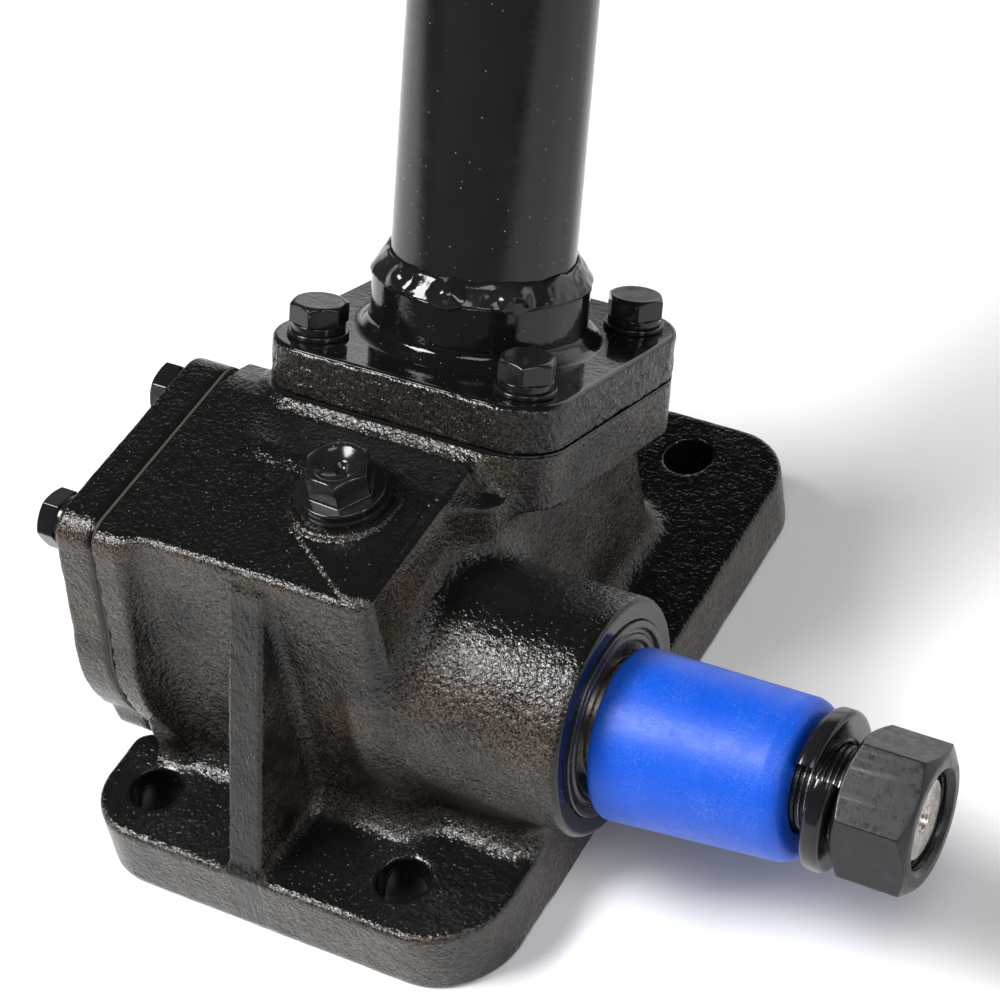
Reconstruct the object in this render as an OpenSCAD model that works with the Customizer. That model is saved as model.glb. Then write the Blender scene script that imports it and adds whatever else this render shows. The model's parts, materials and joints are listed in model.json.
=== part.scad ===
// Manual tractor steering box: a worm on the tilted steering shaft turns a toothed
// sector on the drop arm shaft, which leaves the housing at a right angle.
// Frame: +X along the drop arm shaft, +Z up from the foot plate, +Y the way the column leans.
// The origin is the centre of the foot's four bolt holes, on its bottom face.

/* [Foot plate] */
// Thickness of the foot plate
foot_t = 26; // [22:1:26]
// Reach of the foot to the drop arm side of its bolt centre
foot_right = 83; // [80:1:90]
// Reach of the foot to the side cover's side
foot_left = 67; // [64:1:72]
// Reach of the foot to the front and to the back
foot_half_y = 122; // [118:1:128]
// Foot hole spacing along X
foot_hole_dx = 95; // [90:1:98]
// Foot hole spacing along Y
foot_hole_dy = 204; // [198:1:206]
// Foot hole diameter
foot_hole_d = 17; // [13:0.5:18]

/* [Housing] */
// Height of the gear box's flat top
box_top_z = 129; // [128:0.5:131]
// Front wall of the gear box
box_front_y = -83.6; // [-86:0.2:-83.6]
// Right wall of the gear box
box_right_x = 43.6; // [42:0.2:46]
// Joint face of the side cover
joint_x = -55; // [-57:0.5:-54]
// Height of the drop arm shaft's axis
sector_z = 70; // [70:0.5:70]
// Place of the drop arm shaft's axis along Y
sector_y = -49; // [-49:0.5:-49]
// Radius of the drop arm shaft's boss
boss_r = 38.5; // [37:0.5:39]
// End face of that boss
boss_end_x = 101; // [100:0.5:102]
// Thickness of the web rib on the front wall
rib_t = 12.6; // [10:0.2:14]

/* [Side cover] */
// Thickness of the cover plate
cover_t = 14.6; // [12:0.2:16]
// Outer radius of the cover's round lower half
cover_r = 48; // [48:0.5:49]
// Thickness of the cover gasket
gasket_t = 1; // [0.5:0.1:1.5]

/* [Steering column] */
// Lean of the column from upright
tilt = 24; // [24:1:24]
// Place of the column axis along X
col_x = 10; // [10:0.5:10]
// Where the column axis meets the foot's bottom face, along Y
col_y = -13; // [-13:0.5:-13]
// Height of the flange's top face, measured along the column
flange_top_h = 136.5; // [136:0.5:138]
// Width of the column flange
flange_w = 106; // [104:1:108]
// Thickness of the column flange
flange_t = 16; // [14:0.5:17]
// Thickness of the housing pad under the flange
pad_t = 18.6; // [17:0.2:19]
// Outer diameter of the column tube
tube_d = 60; // [58:0.5:60]
// Wall of the column tube
tube_wall = 3; // [2.5:0.5:4]
// Top end of the tube, measured along the column
tube_top_h = 470; // [300:5:600]

/* [Worm and sector] */
// Gear module
gear_m = 4.25; // [4.25:0.25:4.25]
// Teeth that a full turn of the sector would have
sector_z2 = 18; // [18:1:18]
// Teeth on the sector
sector_teeth = 5; // [5:2:5]
// Width of the sector
sector_w = 22; // [18:1:24]
// Backlash at the pitch line
backlash = 0.5; // [0.3:0.05:0.8]

/* [Drop arm shaft end] */
// Diameter of the shaft's journals
shaft_d = 38; // [38:0.5:38]
// Diameter of the threaded end
thread_d = 28.58; // [27:0.01:30]
// Spanner size of the big nut
nut_af = 42; // [41:0.5:43]
// Thickness of the big nut
nut_t = 24.6; // [22:0.1:26]
// Larger diameter of the protective sleeve
sleeve_d0 = 54.8; // [54.6:0.2:55.4]
// Smaller diameter of the protective sleeve
sleeve_d1 = 50.4; // [49:0.2:52]

/* [Fasteners] */
// Thread diameter of the cover and flange bolts
bolt_d = 10; // [10:1:10]
// Spanner size of their heads
bolt_af = 17; // [16:0.5:18]
// Height of their heads
bolt_head = 7; // [6:0.2:8]

/* [Hidden] */
$fn = 96;
eps = 0.01;
// Radial clearance of a shaft in its bush, and the gap kept elsewhere
run = 0.05;
gap = 0.3;

// Column levels, measured along the column from the foot's bottom face
shim_t = 0.6;
flange_bot_h = flange_top_h - flange_t;
pad_top_h = flange_bot_h - shim_t;
pad_bot_h = pad_top_h - pad_t;
flange_corner_r = 18;
flange_bolt_x = 38;
flange_bolt_y = 37;
neck_r = 35.5;
flare_r = 39.2;
flare_h = 4;
neck_top_h = flange_top_h + 20;
weld_h = 7.4;
tube_r = tube_d / 2;
tube_bore_r = tube_r - tube_wall;
tube_bot_h = flange_bot_h + 8;

// Tower under the flange, from its low corner to its high one
tower_p = [col_x - 43, -40];
tower_q = [col_x + 43, 70];

// Web rib on the front wall
rib_x = -0.8;
rib_toe_y = -120;
rib_top_z = 121;

// Pedestal under the boss
pedestal_x0 = 36;
pedestal_half_y = 26;
pedestal_z = 45;

// Worm and sector
off_y = sector_y - col_y;
centre_dist = -(off_y * cos(tilt) - sector_z * sin(tilt));
mesh_h = off_y * sin(tilt) + sector_z * cos(tilt);
sector_r = gear_m * sector_z2 / 2;
worm_r = centre_dist - sector_r;
lead = PI * gear_m;
lead_angle = atan(lead / (2 * PI * worm_r));
press_angle = 20;
worm_len = 43;
worm_tip_r = worm_r + 0.95 * gear_m;
worm_root_r = worm_r - 1.2 * gear_m;
worm_bore_r = worm_tip_r + 2.4;
sector_tip_r = sector_r + 0.95 * gear_m;
sector_root_r = sector_r - 1.2 * gear_m;
sector_hub_r = 25;
sector_hub_w = 26;

// Steering shaft and its bearings
low_brg_h = 14;
low_brg_w = 12;
low_brg_ro = 20;
low_brg_ri = 9;
up_brg_w = 16;
up_brg_ro = 31;
up_brg_ri = 15;
up_brg_h = flange_bot_h - 1 - up_brg_w;
worm_core_h0 = low_brg_h + low_brg_w + 1;
worm_core_h1 = mesh_h + worm_len / 2 + 1;
worm_seat_r = 13;
shaft_r = 11;
cap_t = 8;
seat_r = 9.5;
seat_h0 = tube_top_h + cap_t + 6;
seat_len = 24;
end_thread_len = 18;
bush_len = 26;

// Drop arm shaft, along X
journal_r = shaft_d / 2;
wall_face_x = 24.5;
thrust_t = 1.35;
bush_r = 23;
bush_w = 26;
seal_x0 = 86;
seal_rim_x = 96;
seal_x1 = boss_end_x + 0.8;
seal_r = 29;
mouth_r = 31.5;
sleeve_x1 = 167;
sleeve_len = 62;
sleeve_wall = 3.1;
sleeve_hole_r = 16;
// The sleeve hangs loose on the shaft, its inner end lower by this angle
sleeve_sag = 4.6;
taper_x0 = 103;
taper_x1 = 150;
thread_x0 = 156;
washer_x0 = 167.4;
washer_t = 6.5;
washer_rise = 6.6;
washer_ri = 14.7;
washer_ro = 24.7;
nut_x0 = 181;
shaft_end_x = nut_x0 + nut_t - 3;
cover_journal_r = 15;
sector_left_x = -62;

// Side cover and its joint, whose front edge leans back towards the top
cover_y = -48;
cover_face_x = joint_x - gasket_t - cover_t;
cover_boss_t = 9;
cover_bolts_at = [[-76.5, 118], [-12.5, 117], [-73, 38.5], [-23, 38.5]];
ears_at = [[-75, 40], [-21, 40]];
cover_bore_x = -66;
cover_bush_x0 = -60;
cover_bush_r = 18;
hub_in_x = -30;
joint_t = 9;
joint_lean = 8.8;
joint_front_r = 8;
joint_back_y = 0;
// The upper part's sides stand this far inside the round part's
joint_inset = 0.2;
joint_back_r = 10;
ear_r = 13;

// Gear chamber
chamber_right_x = 36;
chamber_r = 33;
chamber_y0 = -72;
chamber_y1 = -20;
chamber_top_z = 111;
swing_gap = 2.2;
swing_y0 = -78;
swing_top_z = box_top_z - 9;

// Filler plug
plug_x = 12.5;
plug_y = -45;
plug_pad_r = 19;
plug_pad_t = 2.4;
plug_thread_d = 18;
plug_len = 14;
plug_flange_r = 14;
plug_flange_t = 2.5;
plug_hex_t = 9.6;
plug_dish_r = 5.5;
plug_washer_t = 2;

// Washers under the bolts, the cover's adjuster, and the spanner size of its nut and of the plug
spring_r = 8.8;
spring_t = 2.6;
plain_r = 10;
plain_t = 1.8;
adjuster_d = 12;
small_af = 19;
adjuster_nut_t = 10;
adjuster_out = 26;

// ---------- helpers ----------

// Stands its children on the column axis at a height along the column.
module on_column(h = 0) {
    translate([col_x, col_y, 0])
        rotate([-tilt, 0, 0])
            translate([0, 0, h])
                children();
}

// Lays its children along the drop arm shaft: their Z becomes X.
module on_sector(x = 0) {
    translate([x, sector_y, sector_z])
        rotate([0, 90, 0])
            children();
}

// Extrudes an outline drawn in Y and Z along X, between two places.
module along_x(x0, x1) {
    translate([x0, 0, 0])
        rotate([90, 0, 90])
            linear_extrude(x1 - x0)
                children();
}

// What is cut from a square corner at the origin to leave radius r.
module corner_cut(r) {
    difference() {
        translate([-1, -1]) square(r + 1);
        translate([r, r]) circle(r);
    }
}

// Rectangle from p to q whose four corners have the radii r, from the low corner anticlockwise.
module round_rect(p, q, r) {
    difference() {
        translate(p) square(q - p);
        translate(p) corner_cut(r[0]);
        translate([q.x, p.y]) rotate(90) corner_cut(r[1]);
        translate(q) rotate(180) corner_cut(r[2]);
        translate([p.x, q.y]) rotate(270) corner_cut(r[3]);
    }
}

// Ring or disc of height t.
module ring(ro, ri, t) {
    difference() {
        cylinder(r = ro, h = t);
        translate([0, 0, -1]) cylinder(r = ri, h = t + 2);
    }
}

// Hexagon with its corners cut to a cone at one or both ends.
module hex_prism(af, t, both = false) {
    rc = af / sqrt(3);
    drop = rc - af / 2 * 0.97;
    intersection() {
        cylinder(r = rc, h = t, $fn = 6);
        union() {
            translate([0, 0, t / 2]) cylinder(r1 = rc - drop + t / 2 * 1.7, r2 = rc - drop, h = t / 2);
            cylinder(r1 = both ? rc - drop : rc, r2 = both ? rc - drop + t / 2 * 1.7 : rc, h = t / 2);
        }
    }
}

// Hexagon bolt whose head sits on z = 0.
module hex_bolt(len) {
    translate([0, 0, -len]) cylinder(d = bolt_d, h = len + eps);
    hex_prism(bolt_af, bolt_head);
}

module at_flange_bolts() {
    for (sx = [-1, 1], sy = [-1, 1])
        translate([sx * flange_bolt_x, sy * flange_bolt_y, 0])
            children();
}

// Places children at the cover bolts, their Z pointing out of the cover.
module at_cover_bolts(x) {
    for (p = cover_bolts_at)
        translate([x, p.x, p.y])
            rotate([0, -90, 0])
                children();
}

// ---------- housing ----------

module foot_outline() {
    recess_y = box_front_y + 2;
    difference() {
        round_rect([-foot_left, -foot_half_y], [foot_right, foot_half_y], [21, 28, 23, 22]);
        translate([-foot_left - 1, recess_y]) square([foot_left + 1 + joint_x, 110]);
    }
}

// What is cut beside a circle of radius r, between the directions a and b from its centre.
module wedge_cut(r, a, b) {
    difference() {
        polygon([[0, 0], 2 * r * a, 2 * r * (a + b), 2 * r * b]);
        circle(r);
    }
}

// Upper part of the joint, in Y and Z: its front edge leans back and its corners are round.
module joint_upper() {
    front_y = cover_y - cover_r + joint_inset;
    back_y = joint_back_y - joint_inset;
    corner_z = box_top_z - joint_front_r;
    lean_in = (corner_z - sector_z) * tan(joint_lean);
    front = [front_y + lean_in + joint_front_r / cos(joint_lean), corner_z];
    difference() {
        polygon([[front_y, sector_z],
            [front_y + (box_top_z - sector_z) * tan(joint_lean), box_top_z],
            [back_y, box_top_z],
            [back_y, sector_z]]);
        translate(front) wedge_cut(joint_front_r, [-cos(joint_lean), sin(joint_lean)], [0, 1]);
        translate([back_y - joint_back_r, box_top_z - joint_back_r])
            wedge_cut(joint_back_r, [0, 1], [1, 0]);
    }
}

// The joint as a plate between two places along X: round below with two small ears, square above.
module joint_plate(x0, x1) {
    along_x(x0, x1) translate([cover_y, sector_z]) circle(cover_r);
    along_x(x0, x1) joint_upper();
    for (ear = ears_at)
        along_x(x0, x1) translate(ear) circle(ear_r);
}

module chamber_outline() {
    translate([cover_y, sector_z]) circle(chamber_r);
    translate([chamber_y0, sector_z]) square([chamber_y1 - chamber_y0, chamber_top_z - sector_z]);
}

// Everything below a height along the column.
module below(h) {
    on_column(h)
        translate([-120, -160, -220])
            cube([240, 320, 220]);
}

module housing_body() {
    linear_extrude(foot_t) foot_outline();
    // gear box
    intersection() {
        translate([joint_x, box_front_y, foot_t - 5])
            cube([box_right_x - joint_x, 2 - box_front_y, box_top_z - foot_t + 5]);
        below(pad_top_h - 1);
    }
    joint_plate(joint_x, joint_x + joint_t);
    // tower under the column
    intersection() {
        translate([tower_p.x, tower_p.y, foot_t - 5])
            cube([tower_q.x - tower_p.x, tower_q.y - tower_p.y, box_top_z]);
        below(pad_bot_h + 5);
    }
    on_column(pad_bot_h) linear_extrude(pad_t) flange_outline();
    // drop arm shaft's boss and the pedestal under it
    on_sector(30) cylinder(r = boss_r, h = boss_end_x - 30);
    translate([pedestal_x0, sector_y - pedestal_half_y, foot_t - 5])
        cube([foot_right - pedestal_x0, 2 * pedestal_half_y, pedestal_z - foot_t + 5]);
    // web rib
    along_x(rib_x - rib_t / 2, rib_x + rib_t / 2)
        polygon([[box_front_y + 3, foot_t - 3], [rib_toe_y, foot_t - 3], [rib_toe_y, foot_t + 2],
            [box_front_y - 2, rib_top_z], [box_front_y + 3, rib_top_z + 2]]);
    translate([plug_x, plug_y, box_top_z - 4]) cylinder(r = plug_pad_r, h = 4 + plug_pad_t);
}

module housing_hollow() {
    swing_x0 = col_x - sector_w / 2 - 3;
    difference() {
        along_x(joint_x - 1, chamber_right_x) chamber_outline();
        on_sector(wall_face_x) cylinder(r = bush_r + 4, h = 20);
    }
    // room for the sector's swing
    intersection() {
        on_sector(swing_x0) cylinder(r = sector_tip_r + swing_gap, h = sector_w + 6);
        translate([swing_x0 - 1, swing_y0, 10]) cube([sector_w + 8, 100, swing_top_z - 10]);
    }
    // worm, bearings and shaft
    on_column(worm_core_h0 - 0.8) cylinder(r = worm_bore_r, h = 200);
    on_column(low_brg_h) cylinder(r = low_brg_ro, h = 20);
    on_column(low_brg_h - 2) cylinder(r = 12, h = 20);
    on_column(up_brg_h) cylinder(r = up_brg_ro, h = 60);
    // drop arm shaft's bore, bushes and seal
    on_sector(chamber_right_x - 20) cylinder(r = bush_r, h = seal_x0 - chamber_right_x + 20);
    on_sector(seal_x0) cylinder(r = seal_r, h = 40);
    on_sector(seal_rim_x) cylinder(r = mouth_r, h = 20);
}

module gear_housing() {
    color([0.07, 0.07, 0.07])
        difference() {
            housing_body();
            housing_hollow();
            for (sx = [-1, 1], sy = [-1, 1])
                translate([sx * foot_hole_dx / 2, sy * foot_hole_dy / 2, -1])
                    cylinder(d = foot_hole_d, h = foot_t + 2);
            on_column(pad_top_h - 16)
                at_flange_bolts()
                    cylinder(d = bolt_d, h = 30);
            at_cover_bolts(joint_x + joint_t - 0.4) cylinder(d = bolt_d, h = 20);
            translate([plug_x, plug_y, box_top_z - plug_len + 2]) cylinder(d = plug_thread_d, h = 20);
        }
}

// ---------- side cover ----------

module side_cover() {
    color([0.08, 0.08, 0.08])
        difference() {
            union() {
                joint_plate(cover_face_x, joint_x - gasket_t);
                on_sector(cover_face_x - cover_boss_t) cylinder(r1 = 19, r2 = 22, h = cover_boss_t + eps);
                on_sector(joint_x - 2) cylinder(r = 22, h = hub_in_x - joint_x + 2);
            }
            on_sector(cover_bore_x) cylinder(r = cover_bush_r, h = 40);
            on_sector(cover_face_x - 20) cylinder(d = adjuster_d, h = 40);
            at_cover_bolts(joint_x + 20) cylinder(d = bolt_d + 1, h = 60);
        }
}

module cover_gasket() {
    color([0.25, 0.2, 0.15])
        difference() {
            joint_plate(joint_x - gasket_t, joint_x);
            along_x(joint_x - 5, joint_x + 5) chamber_outline();
            at_cover_bolts(joint_x + 20) cylinder(d = bolt_d + 1, h = 60);
        }
}

module cover_bolts() {
    color([0.06, 0.06, 0.06])
        at_cover_bolts(cover_face_x - spring_t) hex_bolt(cover_t + spring_t + gasket_t + 8);
}

module cover_lock_washers() {
    color([0.1, 0.1, 0.1])
        at_cover_bolts(cover_face_x) ring(spring_r, bolt_d / 2, spring_t);
}

module adjuster_screw() {
    color([0.2, 0.2, 0.2])
        difference() {
            on_sector(cover_face_x - adjuster_out)
                cylinder(d = adjuster_d, h = sector_left_x - gap - cover_face_x + adjuster_out);
            on_sector(cover_face_x - adjuster_out - 1)
                translate([-1, -adjuster_d / 2 - 1, 0])
                    cube([2, adjuster_d + 2, 4]);
        }
}

module adjuster_locknut() {
    color([0.2, 0.2, 0.2])
        on_sector(cover_face_x - cover_boss_t - adjuster_nut_t)
            difference() {
                hex_prism(small_af, adjuster_nut_t, both = true);
                translate([0, 0, -1]) cylinder(d = adjuster_d, h = adjuster_nut_t + 2);
            }
}

module cover_bush() {
    color([0.7, 0.5, 0.25])
        on_sector(cover_bush_x0)
            ring(cover_bush_r, cover_journal_r + run, hub_in_x - cover_bush_x0);
}

module housing_bushes() {
    color([0.7, 0.5, 0.25]) {
        on_sector(wall_face_x) ring(bush_r, journal_r + run, bush_w);
        on_sector(seal_x0 - 1 - bush_w) ring(bush_r, journal_r + run, bush_w);
    }
}

module thrust_washer() {
    color([0.6, 0.6, 0.62])
        on_sector(wall_face_x - thrust_t) ring(bush_r + 3, journal_r + 1, thrust_t);
}

// Oil seal with a rim that fills the boss's mouth and a lip on the shaft.
module output_seal() {
    groove_t = 1.2;
    color([0.03, 0.03, 0.03])
        difference() {
            union() {
                on_sector(seal_x0) cylinder(r = seal_r, h = seal_rim_x - seal_x0 + eps);
                on_sector(seal_rim_x) cylinder(r = mouth_r, h = seal_x1 - seal_rim_x);
            }
            on_sector(seal_x0 - 1) cylinder(r = journal_r + run, h = seal_x1 - seal_x0 + 2);
            on_sector(seal_x1 - groove_t) ring(mouth_r - 2.5, journal_r + 2.5, groove_t + 1);
        }
}

// ---------- drop arm shaft ----------

function involute(a) = tan(a) * 180 / PI - a;
function half_tooth(r) =
    let (base_r = sector_r * cos(press_angle))
    let (a = acos(min(1, base_r / max(r, base_r))))
    let (at_pitch = 90 / sector_z2 - backlash / 4 / sector_r * 180 / PI)
    at_pitch + involute(press_angle) - involute(a);

flank_steps = 8;
flank = [for (i = [0:flank_steps])
    let (r = sector_root_r - 0.6 + (sector_tip_r - sector_root_r + 0.6) * i / flank_steps)
    [r * cos(half_tooth(r)), r * sin(half_tooth(r))]];

// One tooth pointing along +Y, laid over by the lead angle.
module sector_tooth() {
    rotate([0, -lead_angle, 0])
        translate([-sector_w / 2, 0, 0])
            rotate([90, 0, 90])
                linear_extrude(sector_w)
                    polygon([for (p = flank) p, for (i = [flank_steps:-1:0]) [flank[i].x, -flank[i].y]]);
}

module sector_body() {
    reach = 360 / sector_z2 * (sector_teeth - 1) / 2 + 6;
    translate([col_x, sector_y, sector_z])
        rotate([-tilt, 0, 0]) {
            for (k = [-(sector_teeth - 1) / 2:(sector_teeth - 1) / 2])
                rotate([k * 360 / sector_z2, 0, 0]) sector_tooth();
            translate([-sector_w / 2, 0, 0])
                rotate([90, 0, 90])
                    linear_extrude(sector_w)
                        intersection() {
                            circle(sector_root_r);
                            polygon([[0, 0],
                                60 * [cos(reach), -sin(reach)],
                                [70, 0],
                                60 * [cos(reach), sin(reach)]]);
                        }
        }
    on_sector(col_x - sector_hub_w / 2) cylinder(r = sector_hub_r, h = sector_hub_w);
}

module sector_shaft() {
    color([0.55, 0.55, 0.55])
        difference() {
            union() {
                sector_body();
                on_sector(sector_left_x) cylinder(r = cover_journal_r, h = 60);
                on_sector(hub_in_x + gap) cylinder(r = 21, h = 20);
                on_sector(hub_in_x + 2) cylinder(r = journal_r, h = taper_x0 - hub_in_x - 2);
                on_sector(taper_x0) cylinder(r1 = journal_r, r2 = 17.2, h = taper_x1 - taper_x0);
                on_sector(taper_x1 - eps) cylinder(r = 13, h = thread_x0 - taper_x1 + 1);
                on_sector(thread_x0) cylinder(d = thread_d, h = shaft_end_x - thread_x0 - 2);
                on_sector(shaft_end_x - 2) cylinder(r1 = thread_d / 2, r2 = thread_d / 2 - 2, h = 2);
            }
            on_sector(shaft_end_x - 7) cylinder(r1 = 0.2, r2 = 4.2, h = 7 + eps);
        }
}

// Loose protective sleeve over the serrated taper, with an inward collar at its outer end.
module spline_sleeve() {
    round_r = 4.5;
    collar_t = 4;
    inner_r1 = sleeve_d1 / 2 - sleeve_wall;
    color([0.05, 0.3, 0.9])
        translate([sleeve_x1, sector_y, sector_z])
            rotate([0, 90 - sleeve_sag, 0])
                translate([0, 0, -sleeve_len])
                    rotate_extrude()
                        difference() {
                            polygon([[sleeve_d0 / 2 - sleeve_wall, 0],
                                [sleeve_d0 / 2, 0],
                                [sleeve_d1 / 2, sleeve_len],
                                [sleeve_hole_r, sleeve_len],
                                [sleeve_hole_r, sleeve_len - collar_t],
                                [inner_r1, sleeve_len - collar_t - 2]]);
                            translate([sleeve_d1 / 2, sleeve_len]) rotate(180) corner_cut(round_r);
                        }
}

// Open ring that sinks by washer_rise over its turn, as a swept square section.
module output_lock_washer() {
    steps = 48;
    open_deg = 6;
    turn = 360 - open_deg;
    start = 212;
    section = [[washer_ri, 0], [washer_ro, 0], [washer_ro, washer_t], [washer_ri, washer_t]];
    pts = [for (i = [0:steps], p = section)
        let (a = start + turn * i / steps)
        [p.x * cos(a), p.x * sin(a), p.y + washer_rise * (1 - i / steps)]];
    walls = [for (i = [0:steps - 1], j = [0:3])
        [i * 4 + j, i * 4 + (j + 1) % 4, (i + 1) * 4 + (j + 1) % 4, (i + 1) * 4 + j]];
    color([0.09, 0.09, 0.09])
        on_sector(washer_x0)
            polyhedron(pts, concat([[3, 2, 1, 0]], walls,
                [[steps * 4, steps * 4 + 1, steps * 4 + 2, steps * 4 + 3]]), convexity = 4);
}

module output_nut() {
    turned = 56;
    color([0.12, 0.12, 0.12])
        on_sector(nut_x0)
            rotate(turned)
                difference() {
                    hex_prism(nut_af, nut_t, both = true);
                    translate([0, 0, -1]) cylinder(d = thread_d, h = nut_t + 2);
                    translate([0, 0, nut_t - 1.2]) cylinder(d1 = thread_d, d2 = thread_d + 3, h = 1.3);
                }
}

// ---------- steering shaft ----------

module steering_shaft() {
    color([0.5, 0.5, 0.5])
        on_column(0) {
            translate([0, 0, low_brg_h - 0.8]) cylinder(r = low_brg_ri, h = worm_core_h0 - low_brg_h + 1);
            translate([0, 0, worm_core_h0]) cylinder(r = worm_seat_r, h = worm_core_h1 - worm_core_h0 + 1);
            translate([0, 0, worm_core_h1]) cylinder(r = 17, h = up_brg_h - worm_core_h1);
            translate([0, 0, up_brg_h - 1]) cylinder(r = up_brg_ri, h = up_brg_w + 1);
            translate([0, 0, up_brg_h + 5]) cylinder(r = shaft_r, h = seat_h0 - 4 - up_brg_h - 5);
            translate([0, 0, seat_h0 - 4]) cylinder(r1 = shaft_r, r2 = seat_r, h = 4);
            translate([0, 0, seat_h0 - eps]) cylinder(r = seat_r, h = seat_len + eps);
            translate([0, 0, seat_h0 + seat_len - 1]) cylinder(r = 8, h = end_thread_len);
            translate([0, 0, seat_h0 + seat_len - 1 + end_thread_len]) cylinder(r1 = 8, r2 = 6.8, h = 1.2);
        }
}

// Radius of the worm at an angle from the thread's crest.
function worm_radius(a) =
    let (z = abs(a) / 360 * lead)
    let (crest = lead / 4 - backlash / 4 - 0.95 * gear_m * tan(press_angle))
    max(worm_root_r, min(worm_tip_r, worm_tip_r - (z - crest) / tan(press_angle)));

module worm() {
    step = 12;
    turns_deg = 360 * worm_len / lead;
    z0 = mesh_h - worm_len / 2;
    color([0.5, 0.5, 0.48])
        on_column(0)
            difference() {
                union() {
                    translate([0, 0, worm_core_h0])
                        cylinder(r = worm_root_r - 0.3, h = worm_core_h1 - worm_core_h0);
                    translate([0, 0, z0])
                        rotate(90 + 360 * (z0 - mesh_h) / lead)
                            linear_extrude(worm_len, twist = -turns_deg,
                                slices = round(turns_deg / step), $fn = 30)
                                polygon([for (a = [-180:step:179]) worm_radius(a) * [cos(a), sin(a)]]);
                }
                translate([0, 0, worm_core_h0 - 1])
                    cylinder(r = worm_seat_r, h = worm_core_h1 - worm_core_h0 + 2);
            }
}

// Races and balls of a bearing of width w that stands on z = 0.
module race(ro, ri, w, groove_r, ball_r) {
    difference() {
        ring(ro, ri, w);
        translate([0, 0, w / 2]) rotate_extrude() translate([groove_r, 0]) circle(ball_r);
    }
}

module bearing_balls(groove_r, ball_r, count, w) {
    for (i = [0:count - 1])
        rotate(360 * i / count)
            translate([groove_r, 0, w / 2])
                sphere(ball_r);
}

low_ball_r = 3.2;
low_track_r = (low_brg_ri + low_brg_ro) / 2;
up_ball_r = 4.6;
up_track_r = (up_brg_ri + up_brg_ro) / 2;

module lower_bearing_outer() {
    color("silver")
        on_column(low_brg_h) race(low_brg_ro, low_track_r + 1.8, low_brg_w, low_track_r, low_ball_r);
}

module lower_bearing_balls() {
    color("white")
        on_column(low_brg_h) bearing_balls(low_track_r, low_ball_r - run, 9, low_brg_w);
}

module lower_bearing_inner() {
    color("silver")
        on_column(low_brg_h) race(low_track_r - 1.8, low_brg_ri, low_brg_w, low_track_r, low_ball_r);
}

module upper_bearing_outer() {
    color("silver")
        on_column(up_brg_h) race(up_brg_ro, up_track_r + 2.6, up_brg_w, up_track_r, up_ball_r);
}

module upper_bearing_balls() {
    color("white")
        on_column(up_brg_h) bearing_balls(up_track_r, up_ball_r - run, 9, up_brg_w);
}

module upper_bearing_inner() {
    color("silver")
        on_column(up_brg_h) race(up_track_r - 2.6, up_brg_ri, up_brg_w, up_track_r, up_ball_r);
}

// ---------- column ----------

module flange_outline() {
    h = flange_w / 2;
    round_rect([-h, -h], [h, h], [for (i = [0:3]) flange_corner_r]);
}

module bearing_shims() {
    color([0.5, 0.45, 0.35])
        on_column(pad_top_h)
            difference() {
                linear_extrude(shim_t) flange_outline();
                translate([0, 0, -1]) cylinder(r = up_brg_ro, h = 3);
                translate([0, 0, -1]) at_flange_bolts() cylinder(d = bolt_d + 1, h = 3);
            }
}

module column_flange() {
    color([0.07, 0.07, 0.07])
        difference() {
            union() {
                on_column(flange_bot_h) linear_extrude(flange_t) flange_outline();
                on_column(flange_top_h - eps) cylinder(r1 = flare_r, r2 = neck_r, h = flare_h + eps);
                on_column(flange_top_h + flare_h - 1)
                    cylinder(r = neck_r, h = neck_top_h - flange_top_h - flare_h + 1);
                // spigot that holds the upper bearing down
                on_column(up_brg_h + up_brg_w) cylinder(r = up_brg_ro, h = 2);
            }
            on_column(up_brg_h) cylinder(r = up_track_r, h = 60);
            on_column(tube_bot_h) cylinder(r = tube_r, h = 60);
            on_column(flange_bot_h - 5) at_flange_bolts() cylinder(d = bolt_d + 1, h = 40);
        }
}

module column_tube() {
    color([0.05, 0.05, 0.05])
        on_column(tube_bot_h) ring(tube_r, tube_bore_r, tube_top_h - tube_bot_h);
}

// Fillet weld between the neck's end and the tube.
module weld_bead() {
    color([0.08, 0.08, 0.08])
        on_column(neck_top_h)
            rotate_extrude()
                polygon([[tube_r, 0], [neck_r + 0.6, 0], [neck_r + 1.1, 1.5], [neck_r - 1.6, 4.6],
                    [tube_r + 0.9, weld_h - 0.4], [tube_r, weld_h]]);
}

module flange_bolts() {
    color([0.06, 0.06, 0.06])
        on_column(flange_top_h + plain_t + spring_t)
            at_flange_bolts()
                hex_bolt(flange_t + shim_t + 15 + plain_t + spring_t);
}

module flange_lock_washers() {
    color([0.1, 0.1, 0.1])
        on_column(flange_top_h + plain_t) at_flange_bolts() ring(spring_r, bolt_d / 2, spring_t);
}

module flange_washers() {
    color([0.1, 0.1, 0.1])
        on_column(flange_top_h) at_flange_bolts() ring(plain_r, bolt_d / 2, plain_t);
}

module column_bush() {
    color([0.15, 0.15, 0.15])
        on_column(tube_top_h - bush_len) ring(tube_bore_r, shaft_r + run, bush_len);
}

module column_cap() {
    color([0.04, 0.04, 0.04])
        on_column(tube_top_h)
            rotate_extrude()
                polygon([[shaft_r + gap, 0], [tube_r, 0], [tube_r, 2], [tube_r - 1.5, 4],
                    [shaft_r + 5, cap_t], [shaft_r + gap, cap_t]]);
}

// ---------- filler plug ----------

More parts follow.
